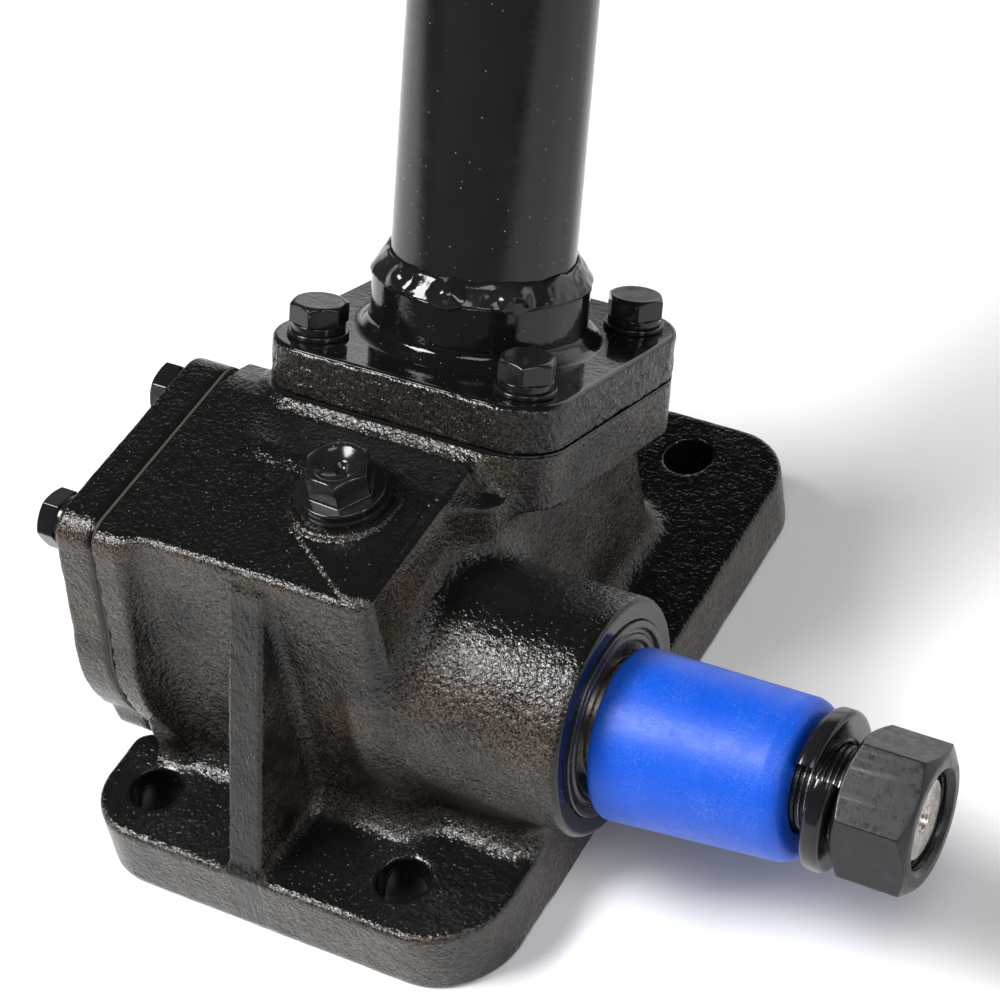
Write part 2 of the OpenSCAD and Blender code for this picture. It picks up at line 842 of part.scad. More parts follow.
module filler_plug() {
    seat_z = box_top_z + plug_pad_t + plug_washer_t;
    color([0.08, 0.08, 0.09])
        translate([plug_x, plug_y, seat_z])
            difference() {
                union() {
                    translate([0, 0, -plug_len]) cylinder(d = plug_thread_d, h = plug_len + 1);
                    cylinder(r = plug_flange_r, h = plug_flange_t);
                    translate([0, 0, plug_flange_t - 0.1]) hex_prism(small_af, plug_hex_t);
                }
                translate([0, 0, plug_len]) sphere(plug_dish_r);
            }
}

module plug_washer() {
    color([0.5, 0.35, 0.2])
        translate([plug_x, plug_y, box_top_z + plug_pad_t])
            ring(plug_flange_r + 1.5, plug_thread_d / 2, plug_washer_t);
}

gear_housing();
side_cover();
cover_gasket();
cover_bolts();
cover_lock_washers();
adjuster_screw();
adjuster_locknut();
cover_bush();
housing_bushes();
thrust_washer();
output_seal();
sector_shaft();
spline_sleeve();
output_lock_washer();
output_nut();
steering_shaft();
worm();
lower_bearing_outer();
lower_bearing_balls();
lower_bearing_inner();
upper_bearing_outer();
upper_bearing_balls();
upper_bearing_inner();
bearing_shims();
column_flange();
column_tube();
weld_bead();
flange_bolts();
flange_lock_washers();
flange_washers();
column_bush();
column_cap();
filler_plug();
plug_washer();
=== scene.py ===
import json
import math

import bpy
import numpy as np
from mathutils import Matrix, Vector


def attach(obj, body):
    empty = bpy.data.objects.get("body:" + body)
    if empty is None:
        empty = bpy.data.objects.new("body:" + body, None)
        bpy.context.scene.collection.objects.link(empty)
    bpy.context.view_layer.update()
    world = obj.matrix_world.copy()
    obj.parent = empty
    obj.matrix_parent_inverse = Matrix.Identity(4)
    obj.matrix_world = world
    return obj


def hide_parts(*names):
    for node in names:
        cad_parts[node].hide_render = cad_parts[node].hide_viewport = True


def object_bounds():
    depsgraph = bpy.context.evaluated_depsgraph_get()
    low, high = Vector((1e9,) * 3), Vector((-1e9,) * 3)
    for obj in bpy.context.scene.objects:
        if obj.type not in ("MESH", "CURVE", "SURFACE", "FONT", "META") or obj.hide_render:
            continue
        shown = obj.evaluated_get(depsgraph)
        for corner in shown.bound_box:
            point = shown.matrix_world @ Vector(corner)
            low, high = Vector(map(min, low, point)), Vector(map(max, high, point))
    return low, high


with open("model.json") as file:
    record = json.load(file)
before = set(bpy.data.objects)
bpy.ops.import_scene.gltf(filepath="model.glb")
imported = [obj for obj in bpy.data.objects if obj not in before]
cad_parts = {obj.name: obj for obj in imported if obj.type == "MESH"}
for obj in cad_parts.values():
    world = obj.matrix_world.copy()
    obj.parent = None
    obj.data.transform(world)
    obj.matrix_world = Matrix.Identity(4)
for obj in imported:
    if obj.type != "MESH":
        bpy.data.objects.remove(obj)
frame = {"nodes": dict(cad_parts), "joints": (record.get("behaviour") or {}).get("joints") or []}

# Looks of the steering gearbox. Lengths are in millimetres until a mesh is made, in metres.
# Castings, bolts and nuts are signed distance shapes that are meshed here; turned parts are lathed.

MM = 0.001
NOTHING = 1e-9
cad_low, cad_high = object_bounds()


# ---- places: the three sets of axes that everything is drawn in

class Place:
    """An origin and three axes in the frame, in mm."""

    def __init__(self, origin, x, y, z):
        self.origin = np.array(origin, float)
        self.axes = np.array([x, y, z], float)

    def inside(self, x, y, z):
        """Frame coordinates in this place's own axes."""
        offset = [v - o for v, o in zip((x, y, z), self.origin)]
        return [sum(c * v for c, v in zip(axis, offset) if abs(c) > NOTHING) for axis in self.axes]

    def outside(self, points):
        """Points in this place's own axes, in the frame's."""
        return points @ self.axes + self.origin


def joint_line(name):
    """A joint's place in mm and its axis."""
    joint = next(j for j in frame["joints"] if j["name"] == name)
    return np.array(joint["pos_m"], float) / MM, np.array(joint["axis"], float)


column_at, column_axis = joint_line("steering_turn")
shaft_at = joint_line("sector_turn")[0]
column_axis /= np.linalg.norm(column_axis)
column_foot = column_at - column_axis * column_at[2] / column_axis[2]

ROW = Place((0, 0, 0), (1, 0, 0), (0, 1, 0), (0, 0, 1))
COLUMN = Place(column_foot, (1, 0, 0), np.cross(column_axis, (1, 0, 0)), column_axis)
SHAFT = Place((0, shaft_at[1], shaft_at[2]), (0, 0, -1), (0, 1, 0), (1, 0, 0))


def points_of(mesh):
    flat = np.empty(3 * len(mesh.vertices))
    mesh.vertices.foreach_get("co", flat)
    return flat.reshape(-1, 3)


def span(node, place=ROW):
    """Lowest and highest corner of a CAD node in a place's axes, in mm."""
    points = np.stack(place.inside(*(points_of(frame["nodes"][node].data) / MM).T), axis=1)
    return points.min(axis=0), points.max(axis=0)


# ---- distances: arrays in mm in, signed distance out

def both(a, b, r=0.0):
    """What is in a and in b, with the edge between them rounded by r."""
    return np.minimum(-r, np.maximum(a, b)) + np.hypot(np.maximum(a + r, 0), np.maximum(b + r, 0))


def joined(a, b, r=0.0):
    """What is in a or in b, with a fillet of radius r between them."""
    return np.maximum(r, np.minimum(a, b)) - np.hypot(np.maximum(r - a, 0), np.maximum(r - b, 0))


def cut(a, b, r=0.0):
    """What is in a and not in b, with the edge rounded by r."""
    return both(a, -b, r)


def within(v, low, high):
    return np.maximum(low - v, v - high)


def rect(u, v, low, high, radii=(0, 0, 0, 0)):
    """Rectangle with a radius for each corner, from the low one anticlockwise."""
    left = u < (low[0] + high[0]) / 2
    lower = v < (low[1] + high[1]) / 2
    r = np.where(left, np.where(lower, radii[0], radii[3]), np.where(lower, radii[1], radii[2]))
    return both(within(u, low[0], high[0]), within(v, low[1], high[1]), r)


def disc(u, v, centre, radius):
    return np.hypot(u - centre[0], v - centre[1]) - radius


def all_discs(u, v, centres, radius, first=np.inf):
    """What is in any of the discs, or in first."""
    for centre in centres:
        first = np.minimum(first, disc(u, v, centre, radius))
    return first


def hexagon(u, v, across):
    """Hexagon of a width across its flats, the first of which faces along u."""
    angles = [math.radians(60 * k) for k in range(3)]
    flats = [np.abs(u * math.cos(a) + v * math.sin(a)) - across / 2 for a in angles]
    return both(both(flats[0], flats[1], 0.3), flats[2], 0.3)


def zigzag(turns):
    """Down from 1 to 0 and up again, once in each turn."""
    return np.abs((turns % 1) - 0.5) * 2


CUBE = [(i, j, k) for i in (0, 1) for j in (0, 1) for k in (0, 1)]
LATTICE = 32
LATTICE_SHIFT = 500.0


def lattice(seed):
    """A cube of random heights, which repeats every LATTICE cells."""
    return np.random.default_rng(seed).uniform(-1, 1, [LATTICE] * 3).astype(np.float32)


def lumps(x, y, z, size, seed):
    """Smooth noise between about -1 and 1 whose lumps are size mm apart."""
    table = lattice(seed)
    cell, part = [], []
    for v in (x, y, z):
        v = v / size + LATTICE_SHIFT
        whole = np.floor(v).astype(int)
        f = v - whole
        cell.append(whole)
        part.append(f * f * (3 - 2 * f))
    total = 0
    for corner in CUBE:
        weight = 1
        for step, f in zip(corner, part):
            weight = weight * (f if step else 1 - f)
        total = total + weight * table[tuple((c + n) % LATTICE for c, n in zip(cell, corner))]
    return total


# ---- meshing

def net(shape, low, high, step):
    """Points and four-sided faces of a distance shape: one point in each cell that its surface crosses,
    at the middle of the crossed edges."""
    axes = [np.arange(a - 2 * step, b + 2.5 * step, step, dtype=np.float32) for a, b in zip(low, high)]
    grid = np.meshgrid(*axes, indexing="ij", sparse=True)
    values = np.ascontiguousarray(np.broadcast_to(shape(*grid), [len(a) for a in axes]))
    inside = values < 0
    corners = np.array(CUBE)
    shape_of_cells = [n - 1 for n in values.shape]
    count = np.zeros(shape_of_cells, np.uint8)
    for c in corners:
        count += inside[tuple(slice(o, o + n) for o, n in zip(c, shape_of_cells))]
    active = (count > 0) & (count < 8)
    cells = np.argwhere(active)
    index = np.full(shape_of_cells, -1, np.int64)
    index[active] = np.arange(len(cells))
    at_corner = [values[tuple((cells + c).T)] for c in corners]
    total = np.zeros((len(cells), 3))
    hits = np.zeros(len(cells))
    for a in range(8):
        for b in range(a + 1, 8):
            if np.abs(corners[a] - corners[b]).sum() != 1:
                continue
            crossed = (at_corner[a] < 0) != (at_corner[b] < 0)
            t = at_corner[a][crossed] / (at_corner[a][crossed] - at_corner[b][crossed])
            total[crossed] += corners[a] + t[:, None] * (corners[b] - corners[a])
            hits += crossed
    points = (cells + total / hits[:, None]) * step + np.array([a[0] for a in axes])
    faces = []
    for a in range(3):
        unit = np.eye(3, dtype=int)
        side, rise = unit[(a + 1) % 3], unit[(a + 2) % 3]
        first = [slice(1, -1)] * 3
        second = [slice(1, -1)] * 3
        first[a] = slice(0, -1)
        second[a] = slice(1, None)
        starts_inside = inside[tuple(first)]
        at = np.argwhere(starts_inside != inside[tuple(second)])
        node = at + side + rise
        quads = np.stack([index[tuple((node - d).T)] for d in (0 * side, side, side + rise, rise)], axis=1)
        backwards = ~starts_inside[tuple(at.T)]
        quads[backwards] = quads[backwards][:, ::-1]
        faces.append(quads)
    return points, np.concatenate(faces)


def slope_of(field, points, h=0.12):
    """Gradient of a field at points."""
    x, y, z = points.T
    return np.stack([
        field(x + h, y, z) - field(x - h, y, z),
        field(x, y + h, z) - field(x, y - h, z),
        field(x, y, z + h) - field(x, y, z - h)], axis=1) / (2 * h)


LEAST_SLOPE = 0.2


def settle(field, points, reach, rounds=2):
    """Moves points onto the surface of a field, at most reach mm in each round."""
    for _ in range(rounds):
        slope = slope_of(field, points)
        steps = field(*points.T) / np.maximum((slope ** 2).sum(axis=1), LEAST_SLOPE)
        points = points - slope * np.clip(steps, -reach, reach)[:, None]
    return points


def add_object(name, data):
    thing = bpy.data.objects.new(name, data)
    bpy.context.scene.collection.objects.link(thing)
    return thing


def new_mesh(name, points, faces):
    mesh = bpy.data.meshes.new(name)
    mesh.from_pydata(points, [], faces)
    mesh.update()
    return mesh


def edged_mesh(name, points, faces, sharp):
    """A smooth mesh whose edges stay crisp where they turn by more than sharp degrees."""
    mesh = new_mesh(name, points, faces)
    mesh.shade_smooth()
    mesh.set_sharp_from_angle(angle=math.radians(sharp))
    return mesh


def thinned(points, faces, keep):
    """The same mesh with about that share of its triangles, fewest where it is flat."""
    mesh = new_mesh("thinned", points, faces)
    piece = add_object("thinned", mesh)
    modifier = piece.modifiers.new("Decimate", "DECIMATE")
    modifier.ratio = keep
    result = piece.evaluated_get(bpy.context.evaluated_depsgraph_get()).to_mesh()
    result.calc_loop_triangles()
    points = points_of(result)
    corners = np.empty(3 * len(result.loop_triangles), np.int32)
    result.loop_triangles.foreach_get("vertices", corners)
    piece.to_mesh_clear()
    bpy.data.objects.remove(piece)
    bpy.data.meshes.remove(mesh)
    return points, corners.reshape(-1, 3)


def solid(shape, low, high, step=0.5, keep=0.5, skin=None):
    """Points, faces and normals of a distance shape, with that share of its triangles kept. skin is how
    far its surface stands proud, as a function of the place."""
    def field(x, y, z):
        return shape(x, y, z) - (skin(x, y, z) if skin else 0)

    points, faces = net(shape, low, high, step)
    points = settle(field, points, step)
    points, faces = thinned(points, faces, keep)
    normals = slope_of(field, points)
    normals /= np.maximum(np.linalg.norm(normals, axis=1), 1e-6)[:, None]
    return points, faces, normals


def finish_piece(name, mesh, material, slot, *nodes, body="housing"):
    """Makes a piece of a mesh, rides it on its body and hides the CAD nodes it stands for."""
    mesh.materials.append(material)
    piece = add_object(name, mesh)
    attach(piece, body)
    if nodes:
        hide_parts(*nodes)


def turned_by(points, degrees):
    """Points turned about their own Z."""
    c, s = math.cos(math.radians(degrees)), math.sin(math.radians(degrees))
    return points @ np.array([[c, s, 0], [-s, c, 0], [0, 0, 1]])


def copies(body_mesh, place, spots):
    """Copies of (points, faces, normals) at spots (x, y, z, turn) of a place, as one mesh in the frame."""
    points, faces, normals = body_mesh
    all_points, all_faces, all_normals = [], [], []
    for k, (x, y, z, turn) in enumerate(spots):
        all_points.append(place.outside(turned_by(points, turn) + (x, y, z)))
        all_faces.append(faces + k * len(points))
        all_normals.append(turned_by(normals, turn) @ place.axes)
    return np.concatenate(all_points), np.concatenate(all_faces), np.concatenate(all_normals)


ONE = ((0, 0, 0, 0),)


def add_shaped(name, body_mesh, place, spots, material, slot, node, rough=None, body="housing"):
    """Makes a piece of a solid at some spots of a place. rough gives each point's share of grain."""
    points, faces, normals = copies(body_mesh, place, spots)
    mesh = new_mesh(name, points * MM, faces)
    mesh.shade_smooth()
    mesh.normals_split_custom_set_from_vertices(normals)
    if rough:
        grain = mesh.attributes.new("grain", "FLOAT", "POINT")
        grain.data.foreach_set("value", rough(*points.T).astype(np.float32))
    finish_piece(name, mesh, material, slot, node, body=body)


def faces_between(rows, n, rounds):
    """Faces from each of the first rows, of n points in a loop, to the next; the last meets row 0."""
    return [(i * n + j, (i + 1) % rows * n + j, (i + 1) % rows * n + (j + 1) % n, i * n + (j + 1) % n)
            for i in range(rounds) for j in range(n)]


def add_lathed(name, place, profile, material, slot, *nodes,
               body="housing", segments=128, sharp=35, wobble=None):
    """Makes a piece of a closed profile of (radius, height) points, turned about a place's Z.
    wobble(angle, radius, height) is added to the radius."""
    angles = np.arange(segments) * 2 * math.pi / segments
    radius, height = np.array(profile, float).T
    a, r = np.meshgrid(angles, radius, indexing="ij")
    h = np.broadcast_to(height, r.shape)
    if wobble:
        r = r + wobble(a, r, h)
    points = np.stack([r * np.cos(a), r * np.sin(a), h], axis=2).reshape(-1, 3)
    faces = faces_between(segments, len(profile), segments)
    mesh = edged_mesh(name, place.outside(points) * MM, faces, sharp)
    finish_piece(name, mesh, material, slot, *nodes, body=body)


def eased(profile, r, steps=4):
    """A closed profile with its corners rounded by r, or less where its sides are short."""
    profile = [np.array(p, float) for p in profile]
    result = []
    for i, p in enumerate(profile):
        back, ahead = profile[i - 1] - p, profile[(i + 1) % len(profile)] - p
        reach = min(r, 0.45 * np.linalg.norm(back), 0.45 * np.linalg.norm(ahead))
        start = p + back / np.linalg.norm(back) * reach
        end = p + ahead / np.linalg.norm(ahead) * reach
        if reach < 0.02:
            result.append(tuple(p))
            continue
        for t in np.linspace(0, 1, steps + 1):
            result.append(tuple((1 - t) ** 2 * start + 2 * t * (1 - t) * p + t ** 2 * end))
    return result


# ---- materials

class Nodes:
    """A node tree and short ways to add nodes to it."""

    def __init__(self, tree):
        self.tree = tree

    def put(self, socket, value):
        if isinstance(value, bpy.types.NodeSocket):
            self.tree.links.new(value, socket)
        else:
            socket.default_value = (*value, 1.0) if socket.type == "RGBA" else value

    def node(self, kind, inputs=(), **settings):
        node = self.tree.nodes.new("ShaderNode" + kind)
        for key, value in settings.items():
            setattr(node, key, value)
        for key, value in dict(inputs).items():
            self.put(node.inputs[key], value)
        return node

    def math(self, operation, a, b=0.0):
        return self.node("Math", {0: a, 1: b}, operation=operation).outputs[0]

    def plus(self, a, b):
        return self.math("ADD", a, b)

    def minus(self, a, b):
        return self.math("SUBTRACT", a, b)

    def times(self, a, b):
        return self.math("MULTIPLY", a, b)

    def between(self, value, low, high, start=0.0, end=1.0, **settings):
        """Maps low to high onto start to end, held at both ends."""
        return self.node("MapRange", {
            "Value": value, "From Min": low, "From Max": high,
            "To Min": start, "To Max": end}, **settings).outputs["Result"]


class Look(Nodes):
    """A Principled material. Sizes are in mm."""

    def __init__(self, name, **finish):
        self.material = bpy.data.materials.new(name)
        self.material.use_nodes = True
        super().__init__(self.material.node_tree)
        self.shader = self.tree.nodes["Principled BSDF"]
        for key, value in finish.items():
            self.set(key, value)
        self.place = self.node("TexCoord").outputs["Object"]

    def set(self, socket, value):
        self.put(self.shader.inputs[socket], value)

    def noise(self, size, detail=2, roughness=0.5, distortion=0.0, place=None):
        """Noise whose lumps are size mm apart."""
        return self.node("TexNoise", {
            "Vector": place or self.place, "Scale": 1 / (size * MM), "Detail": detail,
            "Roughness": roughness, "Distortion": distortion}).outputs["Fac"]

    def squeezed(self, scale):
        """Coordinates stretched by a scale for each axis."""
        return self.node("Mapping", {"Vector": self.place, "Scale": scale}).outputs["Vector"]

    def satin(self, film, low, high):
        """Roughness between low and high, by a noise."""
        return self.between(film, 0.3, 0.7, low, high)

    def finished(self, normal, colour, roughness):
        """The material, with what makes its surface."""
        for socket, value in (("Normal", normal), ("Base Color", colour), ("Roughness", roughness)):
            self.set(socket, value)
        return self.material

    def mix(self, share, a, b):
        node = self.node("Mix", {0: share}, data_type="RGBA")
        self.put(node.inputs[6], a)
        self.put(node.inputs[7], b)
        return node.outputs[2]

    def bump(self, height, depth):
        """Bump whose full height is depth mm."""
        inputs = {"Height": height, "Distance": depth * MM, "Strength": 1.0}
        return self.node("Bump", inputs).outputs["Normal"]

    def specks(self, size, share, dot):
        """1 on small dots of dust: cells size mm apart, of which share hold a dot of that relative size."""
        cells = self.node("TexVoronoi", {"Vector": self.place, "Scale": 1 / (size * MM)})
        pick = self.node("SeparateColor", {0: cells.outputs["Color"]}).outputs[0]
        chosen = self.math("LESS_THAN", pick, share)
        return self.times(chosen, self.between(cells.outputs["Distance"], dot, dot * 0.5))

    def facing(self, direction):
        """0 to 1: how much the surface faces a direction of the object."""
        normal = self.node("TexCoord").outputs["Normal"]
        dot = self.node("VectorMath", {0: normal, 1: direction}, operation="DOT_PRODUCT").outputs["Value"]
        return self.between(dot, 0.2, 1.0)


rib_x, rib_half = -0.8, 6.3      # the front rib, whose paint shows strokes


def cast_paint(name, grain=1.5, depth=0.85, film=0.09, dust_and_glow=0.6):
    """Gloss black paint over a sand casting, with brown on its front and right walls that is dust and a
    painted warm reflection of the floor. grain is the size of its lumps and depth their height, in mm; film
    is its roughness, and the last argument is the share of that brown."""
    look = Look(name, IOR=1.42)
    cast = look.node("Attribute", attribute_name="grain").outputs["Fac"]
    coarse = look.noise(grain, 2, 0.55, 0.3)
    fine = look.noise(grain * 0.42, 2, 0.6)
    height = look.plus(look.times(coarse, 0.88), look.times(fine, 0.12))
    height = look.times(height, look.between(cast, 0, 1, 0.06, 1.0))
    height = look.times(height, look.between(look.facing((0, 0, 1)), 0.62, 0.95, 1.0, 0.58))
    row = look.node("SeparateXYZ", {0: look.place}).outputs
    off_rib = look.math("ABSOLUTE", look.minus(row[0], rib_x * MM))
    on_rib = look.between(off_rib, (rib_half + 0.4) * MM, (rib_half - 0.8) * MM)
    on_rib = look.times(on_rib, look.between(row[1], -84 * MM, -87 * MM))
    strokes = look.noise(1.1, 3, 0.6, 0.0, look.squeezed((1.0, 1.0, 0.1)))
    height = look.times(height, look.between(on_rib, 0, 1, 1.0, 0.25))
    height = look.plus(height, look.times(strokes, look.times(on_rib, 0.5)))
    patches = look.noise(24, 4, 0.6)
    # Walls facing front and right get brown: dust, and a painted reflection of the warm floor that they
    # face.
    dust_and_glow_walls = look.math("MAXIMUM", look.facing((0, -1, 0.35)), look.facing((1, 0, -0.2)))
    dust_and_glow_walls = look.between(dust_and_glow_walls, 0.4, 0.9)
    dust = look.times(look.between(patches, 0.32, 0.58), look.times(dust_and_glow_walls, cast))
    dust = look.times(dust, look.between(on_rib, 0, 1, 1.0, 0.2))
    grit = look.noise(0.75, 2, 0.7)
    dust = look.times(dust, look.between(grit, 0.44, 0.58, 0.05, 1.0))
    paint = look.mix(look.noise(5, 3), (0.003, 0.003, 0.003), (0.007, 0.007, 0.0065))
    # Mixes in the brown of dust and painted floor reflection on those walls.
    colour = look.mix(look.times(dust, dust_and_glow), paint, (0.125, 0.092, 0.068))
    colour = look.mix(look.specks(2.1, 0.5, 0.08), colour, DUST_DOT)
    shine = look.satin(look.noise(7, 4, 0.65), film - 0.04, film + 0.06)
    return look.finished(look.bump(height, depth), colour, look.plus(shine, look.times(dust, 0.25)))


def smooth_paint(name, film):
    """Gloss black paint over turned or rolled steel: a faint orange peel and many fine specks."""
    look = Look(name, IOR=1.42)
    peel = look.plus(look.noise(2.4, 2, 0.5), look.noise(12, 2, 0.5))
    paint = look.mix(look.noise(15, 3), (0.006, 0.006, 0.007), (0.012, 0.011, 0.012))
    return look.finished(
        look.bump(peel, 0.035), look.mix(look.specks(2.6, 0.45, 0.08), paint, DUST_DOT),
        look.satin(look.noise(6, 4, 0.6), film - 0.05, film + 0.08))


def black_oxide(name):
    """Blackened steel: satin, with greyer scuffs on it."""
    look = Look(name, Metallic=0.05, IOR=1.36)
    scuffs = look.between(look.noise(4.5, 5, 0.7, 0.6), 0.52, 0.75)
    return look.finished(
        look.bump(look.noise(0.6, 3, 0.6), 0.03),
        look.mix(scuffs, (0.01, 0.011, 0.0125), (0.022, 0.024, 0.027)),
        look.satin(look.noise(3, 4, 0.6), 0.2, 0.42))


def machined_metal(name, tint, along, rough):
    """Bare steel or bronze with fine tool marks, drawn out along an axis."""
    look = Look(name, Metallic=1.0)
    marks = look.noise(0.5, 3, 0.6, 0.0, look.squeezed(along))
    stain = look.between(look.noise(5, 4, 0.6), 0.45, 0.75)
    return look.finished(look.bump(marks, 0.02), look.mix(stain, tint, [c * 0.55 for c in tint]),
                         look.satin(marks, rough - 0.06, rough + 0.12))


def turned_steel(name):
    """Bare steel faced on a lathe: rings about the drop arm shaft's axis."""
    look = Look(name, Metallic=1.0)
    parts = look.node("SeparateXYZ", {0: look.place}).outputs
    y, z = (look.minus(parts[k], float(SHAFT.origin[k]) * MM) for k in (1, 2))
    radius = look.math("SQRT", look.plus(look.times(y, y), look.times(z, z)))
    rings = look.math("SINE", look.times(radius, 2 * math.pi / (0.55 * MM)))
    stain = look.between(look.noise(4, 4, 0.6), 0.4, 0.75)
    return look.finished(
        look.bump(look.plus(rings, look.noise(0.7, 3, 0.6)), 0.025),
        look.mix(stain, (0.62, 0.58, 0.54), (0.28, 0.25, 0.22)),
        look.satin(look.noise(1.5, 3, 0.6), 0.24, 0.42))


def blue_plastic(name):
    """Soft blue moulded plastic with a faint drag along it and white dust."""
    look = Look(name, IOR=1.38)
    drag = look.noise(1.4, 3, 0.6, 0.2, look.squeezed((0.25, 1.0, 1.0)))
    blue = look.mix(look.noise(18, 3), (0.0005, 0.066, 0.5), (0.001, 0.086, 0.6))
    film = look.times(look.between(look.noise(16, 3, 0.6), 0.35, 0.65, 0.0, 0.18),
                    look.between(look.noise(0.7, 2, 0.7), 0.45, 0.65))
    dust = look.math("MAXIMUM", look.times(look.specks(1.1, 0.4, 0.15), 0.7), film)
    return look.finished(
        look.bump(look.plus(drag, look.noise(14, 2)), 0.05),
        look.mix(dust, blue, (0.2, 0.32, 0.75)), look.satin(look.noise(5, 4, 0.6), 0.38, 0.5))


def moulded(name, ior, grain, blotches, film, dark, light, rough):
    """Rubber or plastic; grain, blotches and film are the noises of its bump, colour and roughness."""
    look = Look(name, IOR=ior)
    return look.finished(
        look.bump(look.noise(*grain), 0.03), look.mix(look.noise(*blotches), dark, light),
        look.satin(look.noise(*film), *rough))


def fibre(name, dark, light):
    """Pressed gasket paper."""
    look = Look(name, IOR=1.45)
    threads = look.noise(0.9, 4, 0.7, 1.2)
    return look.finished(look.bump(threads, 0.05), look.mix(threads, dark, light),
                         look.satin(threads, 0.7, 0.9))


DUST_DOT = (0.4, 0.39, 0.37)
CAST = cast_paint("cast_paint")
CAST_FLANGE = cast_paint("cast_paint_flange", grain=2.1, depth=1.2, film=0.08, dust_and_glow=0.2)
PAINT = smooth_paint("smooth_paint", film=0.12)
WELD = smooth_paint("weld_paint", film=0.1)
OXIDE = black_oxide("black_oxide")
TURNED = turned_steel("turned_steel")
GROUND = machined_metal("ground_steel", (0.6, 0.59, 0.57), (1, 1, 1), 0.22)
GEAR = machined_metal("gear_steel", (0.42, 0.41, 0.4), (0.3, 1, 1), 0.35)
BRONZE = machined_metal("bush_bronze", (0.55, 0.33, 0.12), (0.4, 1, 1), 0.34)
BLUE = blue_plastic("blue_plastic")
RUBBER = moulded("seal_rubber", 1.5, (1.1, 2), (6, 3), (4, 3),
                 (0.008, 0.008, 0.008), (0.02, 0.019, 0.018), (0.18, 0.34))
GASKET = fibre("gasket_paper", (0.022, 0.02, 0.017), (0.055, 0.046, 0.037))
PLASTIC = 1.48, (0.45, 3, 0.6), (8, 3), (3, 3)
BUSH = moulded("bush_plastic", *PLASTIC, [0.05] * 3, [0.08] * 3, (0.4, 0.53))
CAP = moulded("cap_plastic", *PLASTIC, [0.012] * 3, [0.02] * 3, (0.35, 0.48))


# ---- sizes, from the frame where it has them

housing_low, housing_high = span("gear_housing")
gasket_low, gasket_high = span("cover_gasket")
cover_low, cover_high = span("side_cover")
joint_x = gasket_high[0]
cover_in_x, cover_hub_x = gasket_low[0], cover_high[0]
cover_plate = 14.6
foot_top = 26
foot_hole, spanner_room = 8.5, 18
foot_holes = [(sx * 47.5, sy * 102) for sx in (-1, 1) for sy in (-1, 1)]
foot_radii = (21, 28, 23, 22)
foot_edge = 2.5
box_top = gasket_high[2]
box_front, box_back, box_right = -83.6, 2, 43.6
foot_right = 83
tower_low, tower_high = (-30, -33), (53, 70)
shims_low, shims_high = span("bearing_shims", COLUMN)
pad_top = shims_low[2]
pad_low = pad_top - 18.6
flange_low, flange_top = shims_high[2], span("flange_washers", COLUMN)[0][2]
flange_half, flange_corner = shims_high[0], 18
tapped_r, clear_r = 5, 5.5       # holes in the castings for the M10 bolts
flange_bolts = [(sx * 38, sy * 37) for sx in (-1, 1) for sy in (-1, 1)]
boss_r, boss_from, boss_end = 38.5, 30, housing_high[0]
joint_y, joint_z, joint_r = (gasket_low[1] + gasket_high[1]) / 2, SHAFT.origin[2], 48
joint_lean = math.radians(8.8)
chamber_r = 33
cover_bolts = [(-76.5, 118), (-12.5, 117), (-73, 38.5), (-23, 38.5)]
ears, ear_r = [(-75, 40), (-21, 40)], 13
plug_low, plug_high = span("filler_plug")
plug_x, plug_y = (plug_low[0] + plug_high[0]) / 2, (plug_low[1] + plug_high[1]) / 2
plug_seat = span("plug_washer")[0][2]
seal_low, seal_high = span("output_seal", SHAFT)
seal_body_r, seal_rim_x = 29, seal_low[2] + 10
column_bores = ((29.55, 26.2, 200), (20, 14, 34), (12, 12, 32), (31, 103.5, 200))  # radius, from, to
shaft_bores = ((23, 16, 86), (seal_body_r, seal_low[2], 130), (31.5, seal_rim_x, 130))
washer_low, washer_high = span("output_lock_washer", SHAFT)
nut_low, nut_high = span("output_nut", SHAFT)
bolt_across, bolt_head, bolt_r, collar_r, washer_bore = 17, 7, 4.9, 7.9, 5.2
nut_across, nut_turn = 42, 56


# ---- castings

def joint_outline(y, z):
    """The joint between housing and cover, in Y and Z: round below with two small ears, square above,
    where its front edge leans back."""
    front = (joint_y - joint_r - y) * math.cos(joint_lean) + (z - joint_z) * math.sin(joint_lean)
    upper = both(front, z - box_top, 8)
    upper = both(both(upper, y - (joint_y + joint_r), 10), joint_z - z)
    outline = np.minimum(disc(y, z, (joint_y, joint_z), joint_r), upper)
    for spot in ears:
        outline = joined(outline, disc(y, z, spot, ear_r), 2)
    return outline


def chamber_outline(y, z):
    return np.minimum(disc(y, z, (joint_y, joint_z), chamber_r), rect(y, z, (-72, joint_z), (-20, 111)))


def plug_panel(x, y, z):
    """Round pad under the filler plug and the lower panel that runs from it to the front right corner."""
    along, pad_r = (0.837, -0.548), 18.6
    ahead = (x - plug_x) * along[0] + (y - plug_y) * along[1]
    aside = np.abs((x - plug_x) * along[1] - (y - plug_y) * along[0])
    panel = both(both(aside - pad_r, -ahead), rect(x, y, (-10, -80.5), (38.4, -12), (3, 3, 3, 3)), 2)
    panel = both(panel, within(z, box_top - 6, box_top + 0.7), 0.6)
    pad = both(disc(x, y, (plug_x, plug_y), pad_r - 1), within(z, box_top - 6, plug_seat), 0.9)
    return joined(panel, pad, 2.5)


